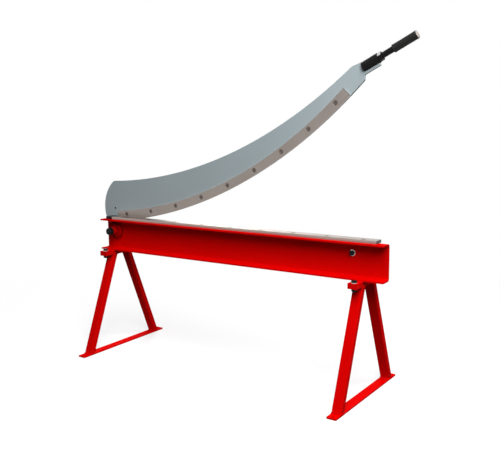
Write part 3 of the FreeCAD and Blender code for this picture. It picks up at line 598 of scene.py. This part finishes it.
# %% [markdown]
# ### One tree seats them all
# Geometry Nodes put a copy of the prototype on every measured point, turn it onto the axis and
# spin it by a random angle, because no fitter leaves two hexagons pointing the same way. The
# seed is fixed, so the angles stay the same in every render. Instances are made real at the
# end, since an exporter would drop them. All trees start and end alike, so two helpers do
# that, and a third runs a tree once and keeps the mesh that comes out.

# %% How a tree starts and ends
def new_tree(name, inputs):
    """A tree with named inputs of these kinds, and the sockets that they come in by."""
    tree = bpy.data.node_groups.new(name, "GeometryNodeTree")
    for label, kind in inputs.items():
        tree.interface.new_socket(label, in_out="INPUT", socket_type="NodeSocket" + kind)
    tree.interface.new_socket("Geometry", in_out="OUTPUT", socket_type="NodeSocketGeometry")
    return tree, add(tree, "NodeGroupInput").outputs


def close_tree(tree, geometry, finish):
    """Make instances real, give them their finish, and end the tree."""
    real = add(tree, "GeometryNodeRealizeInstances", {"Geometry": geometry})
    dressed = add(tree, "GeometryNodeSetMaterial", {"Geometry": real, "Material": finish})
    add(tree, "NodeGroupOutput", {"Geometry": dressed})
    print("tree:", tree.name, len(tree.nodes), "nodes")


def grow(piece, tree, values):
    """Run a Geometry Nodes tree on a piece with named inputs, and keep the plain mesh."""
    modifier = piece.modifiers.new(tree.name, "NODES")
    modifier.node_group = tree
    for item in tree.interface.items_tree:
        if item.item_type == "SOCKET" and item.in_out == "INPUT" and item.name in values:
            modifier[item.identifier] = values[item.name]
    seen = piece.evaluated_get(bpy.context.evaluated_depsgraph_get())
    mesh = bpy.data.meshes.new_from_object(seen)
    piece.modifiers.clear()
    piece.data = mesh
    return piece


print("helpers for trees:", *(helper.__name__ for helper in (new_tree, close_tree, grow)))

# %% Tree: pieces on points
rows, given = new_tree("Pieces on points", {
    "Points": "Geometry", "Piece": "Object", "Axis turn": "Vector", "Largest spin": "Float",
    "Seed": "Int", "Finish": "Material"})
piece = add(rows, "GeometryNodeObjectInfo", {"Object": given["Piece"]})
turn = add(rows, "FunctionNodeEulerToRotation", {"Euler": given["Axis turn"]})
placed = add(rows, "GeometryNodeInstanceOnPoints", {
    "Points": given["Points"], "Instance": piece.outputs["Geometry"], "Rotation": turn})
chance = add(rows, "FunctionNodeRandomValue", {2: 0.0, 3: given["Largest spin"],
                                               8: given["Seed"]}, data_type="FLOAT")
spin = add(rows, "ShaderNodeCombineXYZ", {"Z": chance})
about = add(rows, "FunctionNodeEulerToRotation", {"Euler": spin})
spun = add(rows, "GeometryNodeRotateInstances", {"Instances": placed, "Rotation": about,
                                                 "Local Space": True})
close_tree(rows, spun, given["Finish"])

# %% [markdown]
# A row of points is a mesh with no faces. The tree grows on it, and the prototype goes once it
# has been copied. The row then stands for the CAD node that its points were measured on.

# %% Planting pieces
def plant(name, like, points, axis, prototype, seed, finish=None):
    """Put a prototype on every point, facing along an axis, in the finish of a CAD node."""
    row = grow(mesh_piece(name, points), rows, {
        "Piece": prototype, "Axis turn": axis.to_track_quat("Z", "Y").to_euler(),
        "Largest spin": math.pi / 3, "Seed": seed, "Finish": FINISHES[finish or SLOTS[like]]})
    bpy.data.objects.remove(prototype)
    print(f"{name}: {len(points)} pieces, {len(row.data.polygons)} faces")
    return shade(row)


def fasten(node, axis, prototype, seed, finish=None):
    """Seat a prototype on every solid of a node, facing along an axis."""
    row = plant(node + "_row", node, seats(node, axis)[0], axis, prototype, seed, finish)
    return hand_over(row, node, [node])


def length_of(node, axis):
    """How long a node's solids are along an axis, in millimetres."""
    return seats(node, axis)[1] / MM


print("the pivot bolt is", round(length_of("pivot_bolt", BACK), 1), "mm long")

# %% [markdown]
# Now every fastener of the machine, from the knives to the crosspieces. Behind the arm each
# nut has a washer. The large bolts have theirs under the head. The ends stand two
# millimetres, a little more than one thread, out of their nuts. The nuts under the beam's
# flange were painted with the beam. The handle's lock nut is black, and its one flat that
# faces up and to the front is bright zinc, a painted highlight.

# %% Fasteners
for screws, nuts, seed in (("lower_knife_screws", "lower_knife_nuts", 2),
                           ("end_block_screw", "end_block_nut", 4)):
    fasten(screws, UP, sunk_screw("M10", length_of(screws, UP), threaded=4), seed)
    fasten(nuts, DOWN, hex_nut("M10"), seed + 1)
fasten("upper_knife_screws", FRONT, sunk_screw("M10", screw_length / MM, threaded=4), seed=6)
fasten("upper_knife_washers", BACK, flat_washer("M10"), seed=7)
fasten("upper_knife_nuts", BACK, hex_nut("M10"), seed=8)
fasten("heel_screws", FRONT, sunk_screw("M8", length_of("heel_screws", FRONT), threaded=3), seed=9)
for bolts, washers, nuts, up, down, threaded, seed in (
        ("stop_bolt", "stop_washer", "stop_nut", FRONT, BACK, 5, 11),
        ("frame_bolts_left", "frame_washers_left", "frame_nuts_left", UP, DOWN, 6, 14),
        ("frame_bolts_right", "frame_washers_right", "frame_nuts_right", UP, DOWN, 6, 14)):
    fasten(bolts, up, hex_bolt("M12", length_of(bolts, up), threaded), seed)
    fasten(washers, up, flat_washer("M12"), seed + 1)
    fasten(nuts, down, hex_nut("M12"), seed + 2)
lock_nut = fasten("handle_lock_nut", ALONG_HANDLE, hex_nut("M20"), seed=17)
# Painted highlight: the one flat that faces up and to the front takes bright zinc.
lock_nut.data.materials.append(FINISHES["zinc_steel"])
HIGHLIT_FLAT, NEARLY_ALONG = Vector((-0.32, -0.71, 0.63)), 0.87
for face in lock_nut.data.polygons:
    face.material_index = int(face.normal.dot(HIGHLIT_FLAT) > NEARLY_ALONG)

# %% [markdown]
# ### The pivot
# The bolt that the arm turns on has a ground shoulder, the journal, between its head and a
# shorter, thinner thread. It runs in a turned hub, welded to a disc that is welded to the
# beam, and its nut has deeply cut corners, so that it looks almost round from the front. A
# small black pin fills a hole in the arm above the beam's left end, as painted shade for the
# dark inside of the hole.

# %% Pivot bolt
THREAD_AT_NUT, HEAD, JOURNAL = 22, -12.5, 12
tip = -length_of("pivot_bolt", BACK)
shoulder = tip + THREAD_AT_NUT
fasten("pivot_bolt", BACK, turned("pivot_bolt_turned", [
    *thread_end("M20", tip, 5), (tip + 5.3, 10), (shoulder, 10), (shoulder + 0.01, JOURNAL - 0.4),
    (shoulder + 0.4, JOURNAL), (HEAD - 0.02, JOURNAL), (HEAD, 14.1), (HEAD + 0.5, 14.2),
    (HEAD + 0.52, hexagon(30)), *reversed(corner_cuts(30, 0, 1)), (-0.05, 13.2), (-0.4, 12.6),
    (-0.4, NEAR_AXIS)]), seed=18)

BOSS, HUB, NECK, BORE, NUT_NOSE = 41, 29, 18.4, 16, 7
fasten("pivot_boss", FRONT, turned("boss_turned", [
    (-10, BORE), (-10, BOSS), (-1.2, BOSS), (-0.35, BOSS - 0.35), (0, BOSS - 1.2), (0, 37.6),
    (-0.4, 37.1), (-2.6, 36.6), (-2.6, 33.4), (-0.4, 32.9), (0, 32.4), (0, BORE)],
    closed=True), seed=10, finish="deeper_red")
foot = -length_of("pivot_hub", FRONT)
fasten("pivot_hub", FRONT, turned("hub_turned", [
    (foot, BORE), (foot, HUB), (foot + 9, HUB), (foot + 9.7, HUB - 0.3), (foot + 10, HUB - 1),
    (foot + 10, NECK + 2), (foot + 10.6, NECK + 0.6), (foot + 12, NECK), (-1, NECK),
    (-0.3, NECK - 0.3), (0, NECK - 1), (0, BORE)], closed=True), seed=10, finish="deeper_red")
fasten("pivot_nut", FRONT, turned("nut_turned", [
    (-15.4, 9.9), (-16, 10.5), *corner_cuts(30, -16, -1),
    *[(-NUT_NOSE * i / 4, cut_back(hexagon(30), 12.2 + 5.2 * math.sqrt(i / 4)))
      for i in (4, 3, 2, 1, 0.4, 0)], (0, 10.5), (-0.6, 9.9)], closed=True), seed=10)

# A black pin sunk in the arm's hole: painted shade that stands in for the hole's dark inside.
SHADE_PIN_RADIUS, BEFORE_PIVOT, ABOVE_BEAM, SUNK = 4.4, 33, 45, 0.3
arm_low, arm_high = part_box("arm_plate")
hand_over(plant("arm_plug", "pivot_bolt", [Vector((
    PIVOT.x - BEFORE_PIVOT * MM, arm_low.y + SUNK * MM,
    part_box("beam_channel")[1].z + ABOVE_BEAM * MM))], FRONT, turned("plug_turned", [
        (-9.3, NEAR_AXIS), (-9.3, SHADE_PIN_RADIUS - 0.8), (-8.6, SHADE_PIN_RADIUS), (-0.7, SHADE_PIN_RADIUS), (-0.1, SHADE_PIN_RADIUS - 0.5),
        (0, SHADE_PIN_RADIUS - 1.2), (-0.2, 2), (-2.4, 1.8), (-2.6, NEAR_AXIS)]), seed=23), "pivot_bolt")

# %% [markdown]
# ## The handle
# The rod screws into the socket and is locked there by a nut, and it is thickest between that
# nut and the grip. A vinyl sleeve is pushed over its other end and closed by a plug. The same
# lathe work makes the rubber ring on the stop that the arm comes down on.

# %% Rod, grip and plug
SHOWN_THREAD, SHANK, GRIP, WAIST = 64, 11.2, 15.5, 0.25
tip, mouth, plug = (-length_of(node, ALONG_HANDLE) for node in (
    "handle_rod", "handle_grip", "grip_cap"))
end = tip + SHOWN_THREAD
fasten("handle_rod", ALONG_HANDLE, turned("rod_turned", [
    *thread_end("M20", tip, SHOWN_THREAD), (end + 0.5, 8.9), (end + 1.5, 9.9), (end + 2.1, 9.9),
    (end + 3, SHANK - 0.4), (end + 3.6, SHANK), (mouth - 0.4, SHANK), (mouth + 0.2, 9.9),
    (-1.5, 9.9), (-0.4, 9.4), (0, 8.6), (0, 7.0), (-12, 7.0), (-12, NEAR_AXIS)]), seed=19)
fasten("handle_grip", ALONG_HANDLE, turned("grip_turned", [
    (mouth + 0.8, 10.0), (mouth, 10.8), (mouth, GRIP - 1.6), (mouth + 0.5, GRIP - 0.6),
    (mouth + 1.6, GRIP), (mouth + 7, GRIP), (mouth + 7.8, GRIP - 0.5), (mouth + 9.5, GRIP - 0.5),
    (mouth + 11, GRIP - 0.2),
    *[(mouth * (1 - t), GRIP - 0.2 - WAIST * math.sin(math.pi * t)) for t in
      (0.2, 0.3, 0.4, 0.5, 0.6, 0.7, 0.8, 0.9)],
    (-1.4, GRIP - 0.1), (-0.4, GRIP - 0.5), (0, GRIP - 1.4), (0, 10.0)], closed=True), seed=20)
fasten("grip_cap", ALONG_HANDLE, turned("plug_turned", [
    (plug, 6.8), (-3.4, 7.0), (-3.39, GRIP - 1), (-3.0, GRIP - 0.2), (-2.7, GRIP),
    (-2.3, GRIP - 0.4), (-1.75, GRIP - 2.5), (-1.2, GRIP - 5), (-0.7, GRIP - 8),
    (-0.25, GRIP - 11), (0, 1), (0, NEAR_AXIS)]), seed=21)
fasten("stop_ring", BACK, turned("stop_ring_turned", [
    (-10, 6), (-10, 13.2), (-9.5, 14.4), (-8.4, 15), (-1.6, 15), (-0.5, 14.4), (0, 13.2),
    (0, 6)], closed=True), seed=22)

# %% [markdown]
# ## Tubes of the stand
# Flat tube is rolled from strip and welded shut, so its long corners are round. Each leg is a
# rounded rectangle joined to the same outline at its other end. The outlines lie in the level
# planes where the tube was sawn, which makes them a little deeper than the tube is thick.

# %% Legs and crosspieces
LEG_RUN, LEG_RISE = 179, 457.5
LEG_TILT = math.atan(LEG_RUN / LEG_RISE)
LEG_THICKNESS, LEG_CORNER, CROSSPIECE_CORNER, CORNER_STEPS = 25, 3.5, 2.5, 6
SAWN_EDGE, CAP_EDGE = 0.3, 0.6


def rounded_rectangle(width, depth, corner):
    """Outline around the origin, anticlockwise, in millimetres."""
    points = []
    for quarter, (sx, sy) in enumerate(((1, 1), (-1, 1), (-1, -1), (1, -1))):
        for i in range(CORNER_STEPS + 1):
            angle = math.radians(90 * quarter + 90 * i / CORNER_STEPS)
            points.append((sx * (width / 2 - corner) + corner * math.cos(angle),
                           sy * (depth / 2 - corner) + corner * math.sin(angle)))
    return points


def solid_between(name, start, end, edge):
    """A solid between two outlines, facing outwards, with this much rounded off its edges."""
    piece = stacked(name, [start, end])
    shape = bmesh.new()
    shape.from_mesh(piece.data)
    bmesh.ops.recalc_face_normals(shape, faces=shape.faces)
    shape.to_mesh(piece.data)
    shape.free()
    return break_edges(piece, edge)


def leg_outline(node, at_top):
    """The sawn end of a leg, measured on its CAD node."""
    low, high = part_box(node)
    half = LEG_THICKNESS / 2 / math.cos(LEG_TILT) * MM
    leans_back = node.startswith("front")
    middle_y = high.y - half if at_top == leans_back else low.y + half
    middle_x, z = (low.x + high.x) / 2, high.z if at_top else low.z
    outline = rounded_rectangle((high.x - low.x) / MM, LEG_THICKNESS, LEG_CORNER)
    return [Vector((middle_x + u * MM, middle_y + v * MM / math.cos(LEG_TILT), z))
            for u, v in outline]


def across_beam(node, y):
    """Outline of a crosspiece at one y, measured on its CAD node."""
    low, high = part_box(node)
    outline = rounded_rectangle((high.x - low.x) / MM, (high.z - low.z) / MM,
                                CROSSPIECE_CORNER)
    return [Vector(((low.x + high.x) / 2 + u * MM, y, (low.z + high.z) / 2 + v * MM))
            for u, v in outline]


for side in ("left", "right"):
    for leg in ("front_leg_" + side, "rear_leg_" + side):
        hand_over(solid_between(leg + "_tube", leg_outline(leg, False), leg_outline(leg, True),
                                SAWN_EDGE), leg, [leg])
    cross = "crosspiece_" + side
    low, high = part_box(cross)
    hand_over(solid_between(cross + "_tube", across_beam(cross, low.y),
                            across_beam(cross, high.y), SAWN_EDGE), cross, [cross])
    ends = "crosspiece_caps_" + side
    low_end, high_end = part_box(ends)
    for name, start, end in (("front", low_end.y, low.y), ("rear", high.y, high_end.y)):
        hand_over(solid_between(f"{cross}_cap_{name}", across_beam(cross, start),
                                across_beam(cross, end), CAP_EDGE), ends, [ends])
    print(side, "frame: legs", round(math.degrees(LEG_TILT), 1), "degrees off upright")

# %% [markdown]
# ## Weld beads
# The stand is welded: legs to foot bars and crosspieces, lug plates to the beam, and the boss
# and hub around the pivot. So is the socket, to the arm's tongue. A bead is a ridge that
# follows the corner between two pieces, with a ripple for each small step of the welder's
# hand. Geometry Nodes sweep a circle along the corner's path and let its radius swell and
# shrink.

# %% Tree: a rippled bead along a path
STEPS_PER_RIPPLE, WANDER = 6, 14
beads, given = new_tree("Bead along a path", {
    "Path": "Geometry", "Bead radius": "Float", "Ripple length": "Float",
    "Ripple share": "Float", "Finish": "Material"})
path = add(beads, "GeometryNodeMeshToCurve", {"Mesh": given["Path"]})
step = add(beads, "ShaderNodeMath", {0: given["Ripple length"], 1: STEPS_PER_RIPPLE},
           operation="DIVIDE")
even = add(beads, "GeometryNodeResampleCurve", {"Curve": path, "Length": step}, mode="LENGTH")
along = add(beads, "GeometryNodeSplineParameter").outputs["Length"]
phase = add(beads, "ShaderNodeMath", {0: along, 1: given["Ripple length"]}, operation="DIVIDE")
turns = add(beads, "ShaderNodeMath", {0: phase, 1: 2 * math.pi}, operation="MULTIPLY")
wave = add(beads, "ShaderNodeMath", {0: turns}, operation="SINE")
wander = add(beads, "ShaderNodeTexNoise", {"Scale": per(WANDER)})
swell = add(beads, "ShaderNodeMath", {0: wave, 1: wander}, operation="MULTIPLY")
size = add(beads, "ShaderNodeMath", {0: swell, 1: given["Ripple share"], 2: 1.0},
           operation="MULTIPLY_ADD")
radius = add(beads, "ShaderNodeMath", {0: size, 1: given["Bead radius"]}, operation="MULTIPLY")
profile = add(beads, "GeometryNodeCurvePrimitiveCircle", {"Resolution": 10, "Radius": 1.0})
swept = add(beads, "GeometryNodeCurveToMesh", {"Curve": even, "Profile Curve": profile,
                                               "Scale": radius, "Fill Caps": True})
smooth = add(beads, "GeometryNodeSetShadeSmooth", {"Geometry": swept})
close_tree(beads, smooth, given["Finish"])

# %% [markdown]
# A path is a chain of edges with no faces: a closed loop around a tube's sawn end or a turned
# disc, or an open run along a plate. The circle's middle lies in the corner itself, so about
# a quarter of each bead shows, and the rest is sunk into the pieces that it joins.

# %% Where the welds run
BEAD_RADIUS, RIPPLE, RIPPLE_SHARE, PATH_STEPS = 2.2, 2.6, 0.3, 72


def ring_path(node):
    """A circle where a disc around the pivot meets what is behind it, as a closed path."""
    low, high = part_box(node)
    centre, radius = Vector((PIVOT.x, high.y, PIVOT.z)), (high.x - low.x) / 2 / MM
    turn = [2 * math.pi * i / PATH_STEPS for i in range(PATH_STEPS)]
    return [centre + Vector((math.cos(a), 0, math.sin(a))) * radius * MM for a in turn]


def weld(name, like, loops=(), runs=(), radius=BEAD_RADIUS):
    """Beads along closed loops and open runs, as one piece on the body of a CAD node."""
    points, edges = [], []
    for path, shut in [(loop, True) for loop in loops] + [(run, False) for run in runs]:
        first = len(points)
        points += path
        edges += [(first + i, first + i + 1) for i in range(len(path) - 1)]
        edges += [(len(points) - 1, first)] if shut else []
    bead = grow(mesh_piece(name, points, edges=edges), beads, {
        "Bead radius": radius * MM, "Ripple length": RIPPLE * MM, "Ripple share": RIPPLE_SHARE,
        "Finish": FINISHES[SLOTS[like]]})
    print(f"{name}: {len(loops)} loops and {len(runs)} runs, {len(bead.data.polygons)} faces")
    return hand_over(bead, like)


AFTER_LIP, BEFORE_WEB = 6, 14
beam_low, beam_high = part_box("beam_channel")
for side in ("left", "right"):
    ends = [leg_outline(leg + side, at_top) for at_top in (False, True)
            for leg in ("front_leg_", "rear_leg_")]
    weld("leg_welds_" + side, "foot_bar_" + side, loops=ends)
    low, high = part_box("lug_" + side)
    weld("lug_welds_" + side, "lug_" + side, runs=[
        [Vector((x, y, high.z)) for y in (beam_low.y + AFTER_LIP * MM,
                                          beam_high.y - BEFORE_WEB * MM)]
        for x in (low.x, high.x)])

SOCKET_START, SOCKET_LENGTH, UNDER_AXIS = Vector((0.5598, 0.0198, 1.2319)), 66, 18.3
TONGUE_FACES, TONGUE_LOW, TONGUE_HIGH, END_GAP = (arm_low.y, arm_high.y), 17.5, -17, 5
across = Vector((ALONG_HANDLE.z, 0, -ALONG_HANDLE.x))


def by_socket(along, below, y):
    """A point beside the socket: along its axis, below it, and level with a plate's face."""
    point = SOCKET_START + (ALONG_HANDLE * along + across * below) * MM
    return Vector((point.x, y, point.z))


weld("socket_welds", "handle_socket", radius=1.6, runs=[
    *[[by_socket(1, UNDER_AXIS, y), by_socket(SOCKET_LENGTH - END_GAP, UNDER_AXIS, y)]
      for y in TONGUE_FACES],
    *[[by_socket(0, TONGUE_LOW, y), by_socket(0, TONGUE_HIGH, y)] for y in TONGUE_FACES]])
weld("pivot_welds", "pivot_boss", loops=[ring_path("pivot_boss"), ring_path("pivot_hub")])

# %% [markdown]
# ## The upper knife
# The knife is a strip between two long arcs: its cutting edge, and the line that runs along
# above its screws. That rule is all it takes to draw it: a grid one face high is laid so that
# its lower border follows one arc and its upper border the other, and is then given its
# thickness. The countersinks are cut by instances of one tool on the measured screw points.

# %% Arcs of the knife
EDGE_ARC_RADIUS, TOP_ARC_RADIUS, COLUMNS, HOLE, COUNTERSINK = 2060, 1885, 97, 5.5, 10.15
AT_HEEL, SEAM, BLADE_EDGE = 0.1 * MM, 0.002 * MM, 0.3
knife = [p for island in islands("upper_knife") for p in island]
knife_low, knife_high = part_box("upper_knife")
start_points = sorted((p for p in knife if p.x < knife_low.x + AT_HEEL), key=lambda p: p.z)
edge_ends = (start_points[0], max(knife, key=lambda p: p.x))
top_ends = (start_points[-1], max(knife, key=lambda p: p.z))


def arc_of(ends, radius):
    """Centre and end angles, from straight down, of the arc that hangs between two points."""
    start, end = (Vector((p.x, 0, p.z)) for p in ends)
    half = (end - start) / 2
    rise = math.sqrt((radius * MM) ** 2 - half.length_squared)
    upright = Vector((-half.z, 0, half.x)).normalized()
    centre = start + half + upright * rise
    return centre, [math.atan2(p.x - centre.x, centre.z - p.z) for p in (start, end)]


edge_centre, edge_angles = arc_of(edge_ends, EDGE_ARC_RADIUS)
top_centre, top_angles = arc_of(top_ends, TOP_ARC_RADIUS)
print("the cutting edge turns through", round(math.degrees(edge_angles[1] - edge_angles[0]), 1),
      "degrees, its tip lies", round((edge_ends[1].z - edge_ends[0].z) / MM), "mm above its heel")

# %% [markdown]
# The tree moves each point of the grid to the place on the arcs that its column and row stand
# for, then extrudes the strip backwards. Its old face is turned over to close the front.

# %% Tree: strip between two arcs
strip, given = new_tree("Strip between two arcs", {
    "Screw points": "Geometry",
    **{f"{arc} {value}": kind for arc in ("Edge", "Top") for value, kind in (
        ("centre", "Vector"), ("radius", "Float"), ("from", "Float"), ("to", "Float"))},
    "Front": "Float", "Thickness": "Float", "Columns": "Int", "Sinking tool": "Object",
    "Axis turn": "Vector", "Finish": "Material"})
grid = add(strip, "GeometryNodeMeshGrid", {"Size X": 1.0, "Size Y": 1.0,
                                           "Vertices X": given["Columns"], "Vertices Y": 2})
spot = add(strip, "ShaderNodeSeparateXYZ", {0: add(strip, "GeometryNodeInputPosition")})


def on_arc(arc):
    """Nodes for the point of an arc that belongs to a column of the grid."""
    angle = add(strip, "ShaderNodeMapRange", {
        "Value": spot.outputs["X"], "From Min": -0.5, "From Max": 0.5,
        "To Min": given[arc + " from"], "To Max": given[arc + " to"]})
    swing = add(strip, "ShaderNodeMath", {0: angle}, operation="SINE")
    drop = add(strip, "ShaderNodeMath", {0: angle}, operation="COSINE")
    down = add(strip, "ShaderNodeMath", {0: drop, 1: -1.0}, operation="MULTIPLY")
    arm = add(strip, "ShaderNodeCombineXYZ", {"X": swing, "Z": down})
    reach = add(strip, "ShaderNodeVectorMath", {0: arm, "Scale": given[arc + " radius"]},
                operation="SCALE")
    return add(strip, "ShaderNodeVectorMath", {0: reach, 1: given[arc + " centre"]},
               operation="ADD")


share = add(strip, "ShaderNodeMath", {0: spot.outputs["Y"], 1: 0.5}, operation="ADD")
between = add(strip, "ShaderNodeMix", {0: share, 4: on_arc("Edge"), 5: on_arc("Top")},
              data_type="VECTOR")
forward = add(strip, "ShaderNodeCombineXYZ", {"Y": given["Front"]})
target = add(strip, "ShaderNodeVectorMath", {0: between, 1: forward}, operation="ADD")
face = add(strip, "GeometryNodeSetPosition", {"Geometry": grid, "Position": target})
depth = add(strip, "ShaderNodeCombineXYZ", {"Y": 1.0})
back = add(strip, "GeometryNodeExtrudeMesh", {
    "Mesh": face, "Offset": depth, "Offset Scale": given["Thickness"], "Individual": False})
both = add(strip, "GeometryNodeJoinGeometry")
for part in (back, add(strip, "GeometryNodeFlipFaces", {"Mesh": face})):
    strip.links.new(part.outputs["Mesh"], both.inputs[0])
solid = add(strip, "GeometryNodeMergeByDistance", {"Geometry": both, "Distance": SEAM})
tools = add(strip, "GeometryNodeGroup", {
    "Points": given["Screw points"], "Piece": given["Sinking tool"],
    "Axis turn": given["Axis turn"], "Finish": given["Finish"]}, node_tree=rows)
cut = add(strip, "GeometryNodeMeshBoolean", {0: solid, 1: tools}, operation="DIFFERENCE",
          solver="EXACT")
close_tree(strip, cut, given["Finish"])

# %% [markdown]
# The grinding lines of this knife follow its curve, so its finish reads polar coordinates: the
# way along the arc, the depth and the distance to the arc's centre.

# %% Upper knife
tree, place, cloud = new_finish("curved_steel", "Tool steel, ground along its curve", (90, 4))
centred = add(tree, "ShaderNodeMapping", {"Vector": place, "Location": -top_centre})
part = add(tree, "ShaderNodeSeparateXYZ", {0: centred}).outputs
flat = add(tree, "ShaderNodeCombineXYZ", {"X": part["X"], "Z": part["Z"]})
away = add(tree, "ShaderNodeVectorMath", {0: flat}, operation="LENGTH")
angle = add(tree, "ShaderNodeMath", {0: part["X"], 1: part["Z"]}, operation="ARCTAN2")
along = add(tree, "ShaderNodeMath", {0: angle, 1: LINE_STRETCH * TOP_ARC_RADIUS * MM},
            operation="MULTIPLY")
bent = add(tree, "ShaderNodeCombineXYZ", {"X": along, "Y": part["Y"], "Z": away})
close_ground(tree, bent, cloud, ("938B86", "A39B95", "8C817B"), (0.34, 0.5))

tool = turned("sinking_tool", [(-15, HOLE), (-5.05, HOLE), (0.15, COUNTERSINK),
                               (4, COUNTERSINK)])
blade = grow(mesh_piece("upper_knife_strip", knife_seats), strip, {
    "Edge centre": edge_centre, "Edge radius": EDGE_ARC_RADIUS * MM,
    "Edge from": edge_angles[0], "Edge to": edge_angles[1],
    "Top centre": top_centre, "Top radius": TOP_ARC_RADIUS * MM,
    "Top from": top_angles[0], "Top to": top_angles[1],
    "Front": knife_low.y, "Thickness": knife_high.y - knife_low.y, "Columns": COLUMNS,
    "Sinking tool": tool, "Axis turn": FRONT.to_track_quat("Z", "Y").to_euler(),
    "Finish": FINISHES["curved_steel"]})
bpy.data.objects.remove(tool)
hand_over(break_edges(blade, BLADE_EDGE), "upper_knife", ["upper_knife"])
print("upper knife:", len(blade.data.polygons), "faces,", len(knife_seats), "countersinks")

# %% [markdown]
# ## The studio
# The photograph shows the machine on pure white, lit softly from above and from the right.
# The camera was solved from the picture: these numbers put the CAD's corners on the pixels
# where they are seen.

# %% Camera
FOCAL_PIXELS, PICTURE_WIDTH, SENSOR = 717.44, 500, 36
CAMERA_PLACE = (1.695975, -2.403363, 1.055378)
TURN, TILT, ROLL = (math.radians(a) for a in (34.089, 8.517, -0.70))
ahead = Vector((-math.sin(TURN) * math.cos(TILT), math.cos(TURN) * math.cos(TILT),
                -math.sin(TILT)))
level = Vector((math.cos(TURN), math.sin(TURN), 0))
above = level.cross(ahead)
right = level * math.cos(ROLL) + above * math.sin(ROLL)
upward = above * math.cos(ROLL) - level * math.sin(ROLL)
camera = in_scene("camera", bpy.data.cameras.new("camera"))
camera.data.sensor_width = SENSOR
camera.data.lens = FOCAL_PIXELS / PICTURE_WIDTH * SENSOR
camera.matrix_world = (Matrix.Translation(CAMERA_PLACE)
                       @ Matrix((right, upward, -ahead)).transposed().to_4x4())
scene.camera = camera
print("lens", round(camera.data.lens, 2), "mm on a", SENSOR, "mm sensor")

# %% [markdown]
# A white floor throws much more light up under a machine than this picture shows. The floor
# is therefore white only where it is seen, straight or in a reflection, and grey to the rays
# that carry its light to the machine. Far away it fades into the background's plain white.

# %% Floor and background
def shown(tree):
    """1 for a ray that the camera sees straight, in a reflection or through glass."""
    ray = add(tree, "ShaderNodeLightPath").outputs
    either = add(tree, "ShaderNodeMath", {0: ray["Is Camera Ray"], 1: ray["Is Glossy Ray"]},
                 operation="MAXIMUM")
    return add(tree, "ShaderNodeMath", {0: either, 1: ray["Is Transmission Ray"]},
               operation="MAXIMUM")


FLOOR_SIZE, FADE_START, FADE_END, GLOW_NEAR, FILL = 24, 1.0, 2.4, 0.55, 0.13
bpy.ops.mesh.primitive_grid_add(x_subdivisions=8, y_subdivisions=8, size=FLOOR_SIZE)
floor = bpy.context.object
floor.name = "studio_floor"
paper, tree = blank(bpy.data.materials, "Studio paper, white")
away = add(tree, "ShaderNodeVectorMath", {
    0: add(tree, "ShaderNodeTexCoord").outputs["Object"]}, operation="LENGTH")
fade = add(tree, "ShaderNodeMapRange", {"Value": away, "From Min": FADE_START,
                                        "From Max": FADE_END, "To Min": GLOW_NEAR})
near = add(tree, "ShaderNodeBsdfDiffuse", {"Color": linear("FFFFFF")})
dull = add(tree, "ShaderNodeBsdfDiffuse", {"Color": linear("404040")})
glow = add(tree, "ShaderNodeEmission", {"Color": linear("FFFFFF")})
to_eye = add(tree, "ShaderNodeMixShader", {0: fade, 1: near, 2: glow})
ground = add(tree, "ShaderNodeMixShader", {0: shown(tree), 1: dull, 2: to_eye})
add(tree, "ShaderNodeOutputMaterial", {"Surface": ground})
floor.data.materials.append(paper)

scene.world, tree = blank(bpy.data.worlds, "White studio")
white = add(tree, "ShaderNodeBackground", {"Color": linear("FFFFFF"), "Strength": 1.0})
fill = add(tree, "ShaderNodeBackground", {"Color": linear("FFFFFF"), "Strength": FILL})
sky = add(tree, "ShaderNodeMixShader", {0: shown(tree), 1: fill, 2: white})
add(tree, "ShaderNodeOutputWorld", {"Surface": sky})
scene.view_settings.view_transform = "Standard"
print("floor", round(floor.dimensions.x), "m wide")

# %% [markdown]
# Four large square lamps stand around the machine and look at its middle. The two in front are
# the stronger ones, and the two behind keep the far sides of arm and legs from going black.

# %% Lamps
LAMP_SIZE, AIM = 1.6, Vector((0, 0, 0.6))
LAMPS = {"high_from_right": ((1.27, -1.27, 3.72), 86), "front_right": ((2.09, -2.09, 2.67), 84),
         "behind_right": ((2.4, 1.7, 2.66), 40), "behind_left": ((-2.1, 2.1, 2.7), 60)}
for name, (spot, watts) in LAMPS.items():
    light = bpy.data.lights.new(name, "AREA")
    light.shape, light.size, light.energy = "SQUARE", LAMP_SIZE, watts
    thing = in_scene(name, light)
    thing.location = spot
    thing.rotation_euler = (AIM - Vector(spot)).to_track_quat("-Z", "Y").to_euler()
print("lamps:", *(f"{name} {watts} W" for name, (_, watts) in LAMPS.items()))
